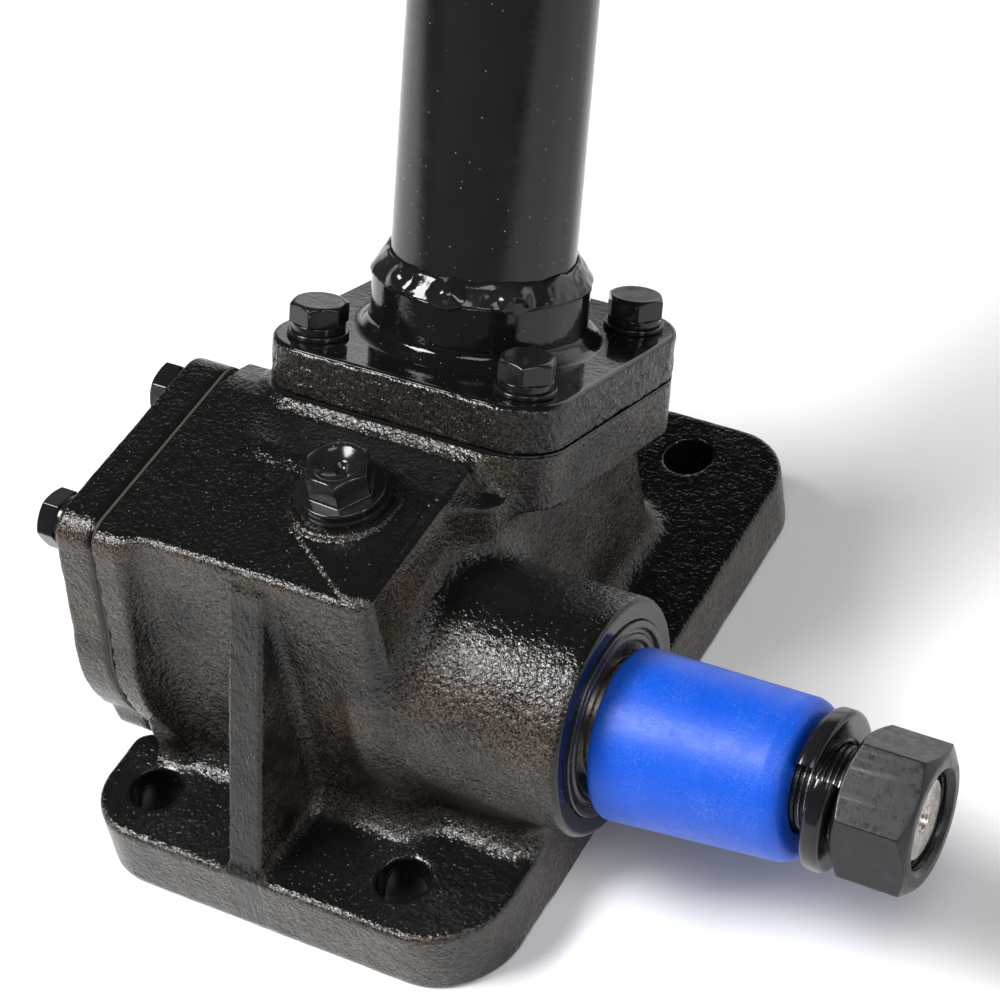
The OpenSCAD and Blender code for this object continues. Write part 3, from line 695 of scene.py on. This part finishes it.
def gear_box_outside(x, y, z, w):
    """The box around the gears with the joint's flange, their shared top and joint faces cut last."""
    box = both(
        rect(x, y, (joint_x - 8, box_front), (box_right, box_back), (1, 9, 6, 1)),
        within(z, 5, box_top + 9))
    face = both(joint_outline(y, z), within(x, joint_x - 8, joint_x + 9), 1.5)
    body = both(joined(box, face, 11), z - box_top, 3.2)
    body = both(body, w - (pad_top - 1), 2)
    return both(body, joint_x - x, 0.4)


def flange_outline(u, v):
    """The square with round corners that pad, shims and flange share."""
    return rect(u, v, (-flange_half, -flange_half), (flange_half, flange_half), [flange_corner] * 4)


def housing_outside(x, y, z):
    u, v, w = COLUMN.inside(x, y, z)
    radial = disc(y, z, SHAFT.origin[1:], 0)
    outline = rect(x, y, housing_low[:2], (foot_right, housing_high[1]), foot_radii)
    outline = cut(outline, rect(x, y, (-90, -81.6), (joint_x, 28.4), (6, 6, 6, 6)), 6)
    foot = both(outline, within(z, 0, foot_top), foot_edge)
    tower = both(
        rect(x, y, tower_low, tower_high, (8, 12, 14, 14)), np.maximum(5 - z, w - pad_low - 5), 1)
    pad = both(flange_outline(u, v), within(w, pad_low, pad_top), 1.0)
    boss = both(radial - boss_r, within(x, boss_from, boss_end), 2.0)
    pedestal = both(rect(x, y, (36, -75), (foot_right, -23), (4, 10, 10, 4)), within(z, 5, 45), 3)
    slope_y, slope_z = 93, 34.4
    lean = (slope_z * (z - 28) - slope_y * (y + 120)) / math.hypot(slope_y, slope_z)
    rib = both(both(lean, within(y, -121, -78), 1), within(x, rib_x - rib_half, rib_x + rib_half), 1.4)
    rib = both(rib, within(z, 5, 123), 2)
    ridge = both(
        rect(x, y, (box_right - 4, -80), (box_right - 0.4, -20), (1, 1, 1, 1)),
        within(z, 100, box_top + 1.1), 0.8)

    body = joined(gear_box_outside(x, y, z, w), foot, 9)
    body = joined(body, tower, 9)
    body = np.maximum(joined(body, pad, 5), w - pad_top)
    body = np.maximum(joined(body, pedestal, 9), x - foot_right)
    body = joined(body, boss, 10)
    body = joined(body, rib, 4)
    body = np.maximum(body, np.minimum(outline, foot_top - z))
    body = np.maximum(body, np.minimum(joint_x - x, z - foot_top))
    body = both(body, -z, 0.6)
    return joined(joined(body, ridge, 1), plug_panel(x, y, z), 1.5)


def housing_hollow(x, y, z):
    u, v, w = COLUMN.inside(x, y, z)
    radial = disc(y, z, SHAFT.origin[1:], 0)
    about = np.hypot(u, v)
    chamber = both(chamber_outline(y, z), within(x, joint_x - 10, 36))
    chamber = cut(chamber, both(radial - 27, within(x, 24.5, 60)))
    swing = both(radial - 44.5, within(x, -4, 24))
    swing = both(swing, both(within(y, -78, 22), within(z, 10, 120)))
    hollow = np.minimum(chamber, swing)
    for around, along, bores in ((about, w, column_bores), (radial, x, shaft_bores)):
        for radius, low, high in bores:
            hollow = np.minimum(hollow, both(around - radius, within(along, low, high)))
    for spot in flange_bolts:
        hollow = np.minimum(hollow, both(disc(u, v, spot, tapped_r), within(w, 103.9, 200)))
    for spot in cover_bolts:
        thread = both(disc(y, z, spot, tapped_r), within(x, -90, joint_x + 8.6))
        hollow = np.minimum(hollow, thread)
    return np.minimum(hollow, both(disc(x, y, (plug_x, plug_y), 9), within(z, 117, 200)))


def housing_holes(x, y, z):
    return np.maximum(all_discs(x, y, foot_holes, foot_hole), z - foot_top - spanner_room)


def housing_shape(x, y, z):
    body = cut(housing_outside(x, y, z), housing_holes(x, y, z), 1.0)
    return cut(body, housing_hollow(x, y, z), 0.6)


def is_cast(x, y, z):
    """1 on rough cast skin, 0 on machined faces, bores and holes."""
    bare = np.minimum(np.abs(housing_hollow(x, y, z)), np.abs(housing_holes(x, y, z)))
    bare = np.minimum(bare, np.abs(x - boss_end))
    return np.clip((bare - 0.5) / 1.5, 0, 1)


def housing_skin(x, y, z):
    """Lumps of the sand mould, on cast skin only."""
    wave = 0.12 * lumps(x, y, z, 9, 1) + 0.1 * lumps(x, y, z, 2.9, 2)
    return wave * is_cast(x, y, z)


def cover_shape(x, y, z):
    radial = disc(y, z, SHAFT.origin[1:], 0)
    plate_out = cover_in_x - cover_plate
    plate = both(both(joint_outline(y, z), plate_out - x, 1.8), x - cover_in_x, 0.6)
    boss = both(radial - 20.5 - (x - cover_low[0]) * 0.15, within(x, cover_low[0], -60), 1.2)
    body = joined(plate, boss, 4)
    body = np.minimum(body, both(radial - 22, within(x, -60, cover_hub_x), 0.8))
    bore = np.minimum(both(radial - 18, within(x, -66, 0)), radial - 6)
    return cut(body, all_discs(y, z, cover_bolts, clear_r, bore), 0.5)


def cover_is_cast(x, y, z):
    radial = disc(y, z, SHAFT.origin[1:], 0)
    bare = np.minimum(np.abs(x - cover_low[0]), np.maximum(radial - 24, x - cover_in_x + 1))
    bare = np.minimum(bare, cover_in_x - 1 - x)
    return np.clip(bare / 1.5, 0, 1)


def cover_skin(x, y, z):
    return (0.12 * lumps(x, y, z, 8, 3) + 0.1 * lumps(x, y, z, 2.9, 4)) * cover_is_cast(x, y, z)


def flange_shape(u, v, w):
    """The column flange, in the column's axes."""
    about = np.hypot(u, v)
    plate = both(flange_outline(u, v), within(w, flange_low, flange_top), 1.4)
    neck_top = span_of_weld[0][2]
    neck = both(about - 35.5, within(w, flange_low + 2, neck_top), 0.8)
    flare = (about - 39.2) * 0.73 + (w - flange_top) * 0.68
    flare = both(flare, within(w, flange_low + 2, flange_top + 5), 0.5)
    body = joined(joined(plate, flare, 1.2), neck, 0.8)
    bore = np.minimum(about - 23, both(about - 30, within(w, 128.5, 200)))
    return cut(body, all_discs(u, v, flange_bolts, clear_r, bore), 0.3)


def flange_is_cast(u, v, w):
    """1 on the plate's rough rim, 0 on its machined top and neck."""
    return np.clip((flange_outline(u, v) + 1.6) / 1.2, 0, 1) * np.clip((flange_top - 0.6 - w) / 1.2, 0, 1)


def flange_skin(u, v, w):
    """Worm-like sand marks on the rim."""
    marks = 0.26 * lumps(u, v, w * 0.8, 2.1, 5) + 0.14 * lumps(u, v, w, 5.5, 6)
    return marks * flange_is_cast(u, v, w)


span_of_weld = span("weld_bead", COLUMN)


def make_castings():
    high = housing_high + 1.5        # room for the skin
    body = solid(housing_shape, housing_low, high, 1.15, 0.5, housing_skin)
    add_shaped("housing_casting", body, ROW, ONE, CAST, "cast_black", "gear_housing", is_cast)
    body = solid(cover_shape, cover_low, cover_high, 1.0, 0.5, cover_skin)
    add_shaped("cover_casting", body, ROW, ONE, CAST, "cast_black", "side_cover", cover_is_cast)
    low, high = span("column_flange", COLUMN)
    body = solid(flange_shape, (low[0], low[1], flange_low), high, 0.75, 0.5, flange_skin)
    grain = lambda x, y, z: flange_is_cast(*COLUMN.inside(x, y, z))
    add_shaped("flange_casting", body, COLUMN, ONE, CAST_FLANGE, "cast_black", "column_flange", grain)


# ---- fasteners

def head_shape(across, height, both_ends=False):
    """Hexagon of that height on z = 0, its corners cut by a cone at the top, or at both ends."""
    def shape(x, y, z):
        about = np.hypot(x, y)
        body = both(hexagon(x, y, across), within(z, 0, height), 0.25)
        body = both(body, (about - across * 0.47) * 0.5 + (z - height) * 0.866, 0.3)
        if both_ends:
            body = both(body, (about - across * 0.47) * 0.5 - z * 0.866, 0.3)
        return body
    return shape


def bolt_shape(length):
    head = head_shape(bolt_across, bolt_head)

    def shape(x, y, z):
        about = np.hypot(x, y)
        shank = both(about - bolt_r, within(z, -length, 1), 0.8)
        collar = both(about - collar_r, within(z, -0.05, 0.5), 0.1)
        return np.minimum(np.minimum(head(x, y, z), shank), collar)
    return shape


def washer_shape(outer, thick, split=False):
    """Plain washer, or a spring washer with a slanted gap."""
    def shape(x, y, z):
        ring = within(np.hypot(x, y), washer_bore, outer)
        ring = both(ring, within(z, 0, thick), 0.35 if split else 0.4)
        gap = both(np.abs(y - (z - thick / 2) * 0.9) - 0.6, -x)
        return cut(ring, gap, 0.15) if split else ring
    return shape


def make_fasteners():
    """Bolts and washers of the flange and of the cover, each turned to where it was tightened."""
    turns = (12, 52, 20, 33)
    half = 10.2
    spring_thick, plain_thick = 2.6, 1.8
    long_bolt, short_bolt = (
        solid(bolt_shape(length), (-half, -half, -length), (half, half, bolt_head)) for length in (36, 24))
    spring = solid(washer_shape(8.8, spring_thick, True), (-9, -9, 0), (9, 9, spring_thick), 0.4)
    plain = solid(washer_shape(10, plain_thick), (-10, -10, 0), (10, 10, plain_thick), 0.45)
    outward = Place((0, 0, 0), (0, 0, 1), (0, 1, 0), (-1, 0, 0))
    on_cover = [(z, y) for y, z in cover_bolts]
    plate_out = cover_plate - cover_in_x
    for name, body, place, centres, level, angles, node in (
            ("flange_bolt_set", long_bolt, COLUMN, flange_bolts,
             flange_top + (plain_thick + spring_thick), turns, "flange_bolts"),
            ("flange_spring_washers", spring, COLUMN, flange_bolts,
             flange_top + plain_thick, [100 + 3 * t for t in turns], "flange_lock_washers"),
            ("flange_plain_washers", plain, COLUMN, flange_bolts,
             flange_top, [0] * len(turns), "flange_washers"),
            ("cover_bolt_set", short_bolt, outward, on_cover,
             plate_out + spring_thick, turns, "cover_bolts"),
            ("cover_spring_washers", spring, outward, on_cover,
             plate_out, [5 * t for t in turns], "cover_lock_washers")):
        spots = [(x, y, level, t) for (x, y), t in zip(centres, angles)]
        add_shaped(name, body, place, spots, PAINT, "gloss_black", node)


def make_adjuster():
    low, high = span("adjuster_locknut", SHAFT)
    thick = high[2] - low[2]
    prism = head_shape(19, thick, both_ends=True)

    def nut(x, y, z):
        return cut(prism(x, y, z), np.hypot(x, y) - 5.9, 0.5)

    body = solid(nut, (-11, -11, 0), (11, 11, thick))
    spot = [(0, 0, low[2], 11)]
    add_shaped("adjuster_lock_nut", body, SHAFT, spot, OXIDE, "black_oxide", "adjuster_locknut")
    start, end = span("adjuster_screw", SHAFT)
    length = end[2] - start[2]
    pitch, thread = 1.75, 0.45

    def screw(x, y, z):
        turn = np.arctan2(y, x) / (2 * math.pi)
        rod = both(np.hypot(x, y) - 6 + thread * zigzag(z / pitch - turn), within(z, 0, length), 0.6)
        slot = both(np.abs(x) - 1, z - 3)
        return cut(rod, slot, 0.2)

    body = solid(screw, (-6, -6, 0), (6, 6, length), 0.4, 0.6)
    spot = [(0, 0, start[2], 30)]
    add_shaped("adjuster_stud", body, SHAFT, spot, OXIDE, "black_oxide", "adjuster_screw")


def make_filler_plug():
    """Hexagon plug with a round flange and a dished, dimpled top."""
    seat = span("plug_washer")[1][2]
    height = plug_high[2] - seat
    prism = head_shape(19, height)

    def shape(x, y, z):
        about = np.hypot(x, y)
        flange = both(about - 14, within(z, 0, 2.5), 0.7)
        body = joined(flange, prism(x, y, z), 0.6)
        body = np.minimum(body, both(about - 8.9, within(z, -14, 1)))
        bowl = np.sqrt(about ** 2 + (z - height - 9.5) ** 2) - 12.2
        dimple = np.sqrt((x - 1) ** 2 + y ** 2 + (z - height + 1.4) ** 2) - 2.6
        return cut(cut(body, bowl, 0.4), dimple, 0.6)

    body = solid(shape, (-14, -14, -14), (14, 14, height))
    spot = [(plug_x, plug_y, seat, 27)]
    add_shaped("plug_with_flange", body, ROW, spot, PAINT, "gloss_black", "filler_plug")


# ---- column

def make_column():
    low, high = span("column_tube", COLUMN)
    r, wall = high[0], 3
    profile = [(r - wall, low[2]), (r, low[2]), (r, high[2]), (r - wall, high[2])]
    drawn = lambda a, radius, h: 0.04 * np.sin(3 * a + 0.4) * (radius > r - 1)
    levels = np.linspace(low[2], high[2], 30)
    outer = [(r, h) for h in levels[1:-1]]
    profile = eased(profile, 0.5)
    cut_at = max(i for i, p in enumerate(profile) if p[1] < low[2] + 1 and p[0] > r - 0.01) + 1
    profile = profile[:cut_at] + outer + profile[cut_at:]
    add_lathed("steering_tube", COLUMN, profile, PAINT, "gloss_black", "column_tube",
               segments=160, wobble=drawn)

    low, high = span("column_cap", COLUMN)
    r, bore, h = high[0], 11.4, low[2]
    profile = eased([
        (bore, h), (r, h), (r, h + 2.2), (r - 1.5, h + 4), (bore + 5, high[2]), (bore + 1.4, high[2]),
        (bore + 1.4, high[2] - 1.5), (bore, high[2] - 1.5)], 0.5)
    add_lathed("column_end_cap", COLUMN, profile, CAP, "cap_plastic", "column_cap")
    make_weld()
    make_steering_shaft()


def make_weld():
    """Smooth hand-laid fillet weld with fat blobs where it was started and ended.
    Each blob is a ball: its angle, radius and level, then its size."""
    low, high = span_of_weld
    height = high[2] - low[2]
    tube_r, root_r = 30.2, 35.9
    blobs = [(-80, 32.4, 1.4, 4.8), (-43, 32.5, 1.2, 5.2), (-113, 32.0, 2.2, 4.0), (62, 32.3, 1.2, 4.4),
             (128, 32.1, 1.6, 4.6), (176, 32.4, 1.2, 4.4)]

    def shape(x, y, z):
        about = np.hypot(x, y)
        slant = (about - root_r) * 0.8 + (z - 0.6) * 0.6
        turn = np.arctan2(y, x)
        upper = height - 0.5 - 0.25 * np.sin(9 * turn) - 0.3 * np.sin(16 * turn + 1)
        bead = both(both(slant, np.maximum(-0.4 - z, z - upper), 0.9), tube_r - about)
        for angle, radius, level, size in blobs:
            a = math.radians(angle)
            ball = np.sqrt((x - radius * math.cos(a)) ** 2 + (y - radius * math.sin(a)) ** 2
                           + (z - level) ** 2) - size
            bead = joined(bead, both(ball, tube_r - about), 2.5)
        return both(bead, about - high[0])

    def skin(x, y, z):
        outer = np.clip((np.hypot(x, y) - tube_r - 0.1) / 1.5, 0, 1)
        return (0.42 * lumps(x, y, z, 7, 7) + 0.12 * lumps(x, y, z, 2.2, 8) - 0.15) * outer

    body = solid(shape, (-38, -38, -0.5), (38, 38, height + 1), 0.55, 0.6, skin)
    add_shaped("weld_seam", body, COLUMN, [(0, 0, low[2], 0)], WELD, "gloss_black", "weld_bead")


def make_steering_shaft():
    """One turned shaft: bearing and worm seats, long shank, serrated taper for the wheel, thread."""
    low, high = span("steering_shaft", COLUMN)
    chamfer, thread_length, seat_length = 1.2, 18, 23
    serrations, pitch = 36, 1.5
    thread_end = high[2] - chamfer
    seat, thread = thread_end - thread_length - seat_length, thread_end - thread_length + 1
    steps = [(9, low[2]), (9, 27), (13, 27), (13, 72), (17, 72), (17, 103.5), (15, 103.5), (15, 119.5),
             (11, 119.5), (11, seat - 4), (9.5, seat)]
    profile = [(0.01, low[2])] + [p for p in eased([(0.01, low[2])] + steps + [(0.01, seat)], 0.5)[1:-1]
                                  if p[0] > 5]
    serrated = [(9.5, h) for h in np.linspace(seat + 0.5, thread - 1, 12)] + [(8.2, thread)]
    threaded = [(8, h) for h in np.arange(thread + 0.2, thread_end, 0.25)]
    top = [(6.8, high[2]), (0.01, high[2])]
    profile = profile + serrated + threaded + top

    def teeth(a, radius, h):
        tooth = 0.5 * zigzag(a * serrations / (2 * math.pi))
        on_seat = (h > seat + 0.3) & (h < thread - 0.5)
        screw = 0.7 * zigzag(h / pitch - a / (2 * math.pi))
        on_thread = (h > thread + 0.1) & (h < high[2] - 1.3)
        return -tooth * on_seat - screw * on_thread

    add_lathed("steering_spindle", COLUMN, profile, GROUND, "bright_steel", "steering_shaft",
               body="steering", segments=144, sharp=50, wobble=teeth)


# ---- drop arm shaft

def make_output():
    r, bore, x0, x1 = seal_high[0], 19.05, seal_low[2], seal_high[2]
    profile = eased([
        (bore, x0), (seal_body_r, x0), (seal_body_r, seal_rim_x), (r, seal_rim_x), (r, x1),
        (r - 2.3, x1), (r - 2.7, x1 - 1.2), (r - 4.0, x1 - 1.2), (r - 4.4, x1 - 0.4), (r - 6.2, x1 - 0.4),
        (r - 6.8, x1 - 1.2), (bore + 1.2, x1 - 1.2), (bore, x1 - 2)], 0.45)
    add_lathed("shaft_oil_seal", SHAFT, profile, RUBBER, "seal_rubber", "output_seal")
    make_sleeve()
    make_lock_washer()
    make_nut()
    make_thread()


def make_sleeve():
    """Moulded sleeve that hangs loose on the shaft, so its inner end sits lower."""
    sag, end_x = math.radians(4.6), 167
    c, s = math.cos(sag), math.sin(sag)
    own = Place((end_x, shaft_at[1], shaft_at[2]), (s, 0, -c), (0, 1, 0), (c, 0, s))
    low, high = span("spline_sleeve", own)
    r0, r1, x0, x1, wall, hole, rim = high[0], 25.2, low[2], high[2], 3.1, 16, 4.5
    side = [(r0 + (r1 - r0) * t, x0 + (x1 - x0) * t) for t in np.linspace(0.03, 0.93, 24)]
    nose = [(r1 - rim + rim * math.cos(a), x1 - rim + rim * math.sin(a))
            for a in np.linspace(0.1, math.pi / 2, 10)]
    root = [(r0 - wall, x0 + 0.3), (r0 - 1.3, x0), (r0 - 0.4, x0 + 0.25), (r0 - 0.05, x0 + 0.9)]
    profile = root + side + nose
    profile += [(hole + 0.6, x1), (hole, x1 - 0.6), (hole, x1 - 4), (r1 - wall, x1 - 6)]
    uneven = lambda a, radius, h: 0.05 * np.sin(2 * a + h / 30) * (radius > 22)
    add_lathed("protective_sleeve", own, profile, BLUE, "blue_plastic", "spline_sleeve",
               body="drop_arm_shaft", segments=144, sharp=40, wobble=uneven)


def make_lock_washer():
    """Heavy open spring washer: a rounded bar wound almost once round, sinking as it goes."""
    inner, outer, thick = 14.7, 24.7, 6.5
    rise = washer_high[2] - washer_low[2] - thick
    start, turn, steps = 212, 354, 150
    section = eased([(inner, 0), (outer, 0), (outer, thick), (inner, thick)], 2.3, 7)
    n = len(section)
    points = []
    for i in range(steps + 1):
        a = math.radians(start + turn * i / steps)
        for r, h in section:
            points.append((r * math.cos(a), r * math.sin(a), washer_low[2] + h + rise * (1 - i / steps)))
    faces = faces_between(steps + 1, n, steps)
    faces.append(tuple(range(n)))
    faces.append(tuple(reversed(range(steps * n, steps * n + n))))
    mesh = edged_mesh("spring_washer", SHAFT.outside(np.array(points)) * MM, faces, 40)
    finish_piece("spring_washer", mesh, PAINT, "gloss_black", "output_lock_washer",
                 body="drop_arm_shaft")


def make_nut():
    thick = nut_high[2] - nut_low[2]
    prism = head_shape(nut_across, thick, both_ends=True)
    pitch = 1.8

    def shape(x, y, z):
        about = np.hypot(x, y)
        turn = np.arctan2(y, x) / (2 * math.pi)
        bore = about - 14.7 - 0.5 * zigzag(z / pitch - turn)
        mouth = (about - 14.7) * 0.7 - (z - thick + 2.0) * 0.7
        return cut(cut(prism(x, y, z), bore), mouth, 0.2)

    half = nut_across * 0.58
    body = solid(shape, (-half, -half, 0), (half, half, thick), 0.55, 0.5)
    spot = [(0, 0, nut_low[2], nut_turn + 30)]
    add_shaped("slogging_nut", body, SHAFT, spot, OXIDE, "black_oxide", "output_nut",
               body="drop_arm_shaft")


def make_thread():
    """Thread that stands just proud of the drop arm shaft's end."""
    low, high = 156.4, span("sector_shaft", SHAFT)[1][2] - 2.2
    pitch, base, crest = 1.8, 14.2, 14.62
    levels = np.arange(low, high, 0.3)
    profile = [(base - 0.4, low)] + [(base, h) for h in levels] + [(base - 0.4, high)]

    def ridge(a, radius, h):
        return (crest - base) * (1 - zigzag(h / pitch - a / (2 * math.pi))) * (radius > base - 0.1)

    add_lathed("shaft_thread", SHAFT, profile, OXIDE, "black_oxide",
               body="drop_arm_shaft", segments=96, sharp=60, wobble=ridge)


def dress_inner_parts():
    """CAD nodes whose shape is right keep it and get a finish."""
    looks = {
        "cover_gasket": GASKET, "bearing_shims": PAINT, "plug_washer": PAINT,
        "cover_bush": BRONZE, "housing_bushes": BRONZE, "thrust_washer": GROUND,
        "sector_shaft": TURNED, "worm": GEAR, "column_bush": BUSH}
    for end in ("lower", "upper"):
        for part in ("outer", "balls", "inner"):
            looks[f"{end}_bearing_{part}"] = GROUND
    for node, material in looks.items():
        mesh = frame["nodes"][node].data
        mesh.materials.clear()
        mesh.materials.append(material)


# ---- studio

def make_floor():
    size = 6.0
    z = cad_low[2]
    corners = [(-size, -size, z), (size, -size, z), (size, size, z), (-size, size, z)]
    mesh = new_mesh("floor", corners, [(0, 1, 2, 3)])
    floor = add_object("floor", mesh)
    look = Look("floor_paint", Roughness=0.7)
    look.set("Base Color", look.mix(look.noise(400, 2), (0.9, 0.9, 0.9), (0.93, 0.93, 0.93)))
    mesh.materials.append(look.material)


def sight(azimuth, elevation):
    """The direction of a look from there onto the gearbox, and the level direction to its right."""
    a, e = math.radians(azimuth), math.radians(elevation)
    toward = np.array((-math.sin(a) * math.cos(e), math.cos(a) * math.cos(e), -math.sin(e)))
    return toward, np.array((math.cos(a), math.sin(a), 0))


def aim(thing, location, forward, right):
    """Places a camera or light that looks along forward, with right to its right."""
    forward = np.array(forward) / np.linalg.norm(forward)
    up = np.cross(right, forward)
    axes = Matrix((right, up, -forward)).transposed().to_4x4()
    thing.matrix_world = Matrix.Translation(location) @ axes


def make_light(name, azimuth, elevation, distance, size, watts):
    """Soft rectangular light that shines on the gearbox from a direction."""
    toward, level = sight(azimuth, elevation)
    data = bpy.data.lights.new(name, "AREA")
    data.shape = "RECTANGLE"
    data.size, data.size_y = size
    data.energy = watts
    target = np.array((0.03, 0.0, 0.12))
    aim(add_object(name, data), target - toward * distance, toward, level)


def make_world():
    """Studio walls: bright behind the gearbox, dim in front of it, at its left and overhead."""
    world = bpy.data.worlds.new("studio")
    world.use_nodes = True
    sky = Nodes(world.node_tree)
    parts = sky.node("SeparateXYZ", {0: sky.node("TexCoord").outputs["Generated"]}).outputs
    ramps = ("Y", -0.4, 0.7, 0.2, 1.6), ("Z", 0.2, 0.5, 1.0, 0.03), ("X", -0.82, -0.45, 0.06, 1.0)
    behind, overhead, left = (
        sky.between(parts[axis], *ramp, interpolation_type="SMOOTHSTEP") for axis, *ramp in ramps)
    background = sky.tree.nodes["Background"].inputs
    sky.put(background["Color"], (1.0, 0.985, 0.96))
    sky.put(background["Strength"], sky.times(sky.times(behind, overhead), left))
    bpy.context.scene.world = world


def make_lights():
    make_world()
    make_light("left_softbox", -55, 52, 1.8, (0.85, 0.65), 50)
    make_light("right_softbox", 75, 30, 1.9, (0.25, 1.2), 9)
    make_light("front_softbox", 42, 60, 2.3, (1.0, 1.0), 17)
    bpy.context.scene.view_settings.view_transform = "Standard"


def make_camera():
    """The camera of the reference view: from the front right and above, leaning a little."""
    forward, level = sight(36.254, 44.273)
    lean = math.radians(10.613)
    target, distance = np.array((33.6, 4.9, 90.0)) * MM, 917.7 * MM
    right = level * math.cos(lean) + np.cross(forward, level) * math.sin(lean)
    data = bpy.data.cameras.new("camera")
    data.sensor_width = 36
    data.lens = 102.36
    data.clip_start, data.clip_end = 0.05, 30
    camera = add_object("camera", data)
    aim(camera, target - forward * distance, forward, right)
    bpy.context.scene.camera = camera


make_camera()
make_lights()
make_floor()
make_castings()
make_fasteners()
make_adjuster()
make_filler_plug()
make_column()
make_output()
dress_inner_parts()
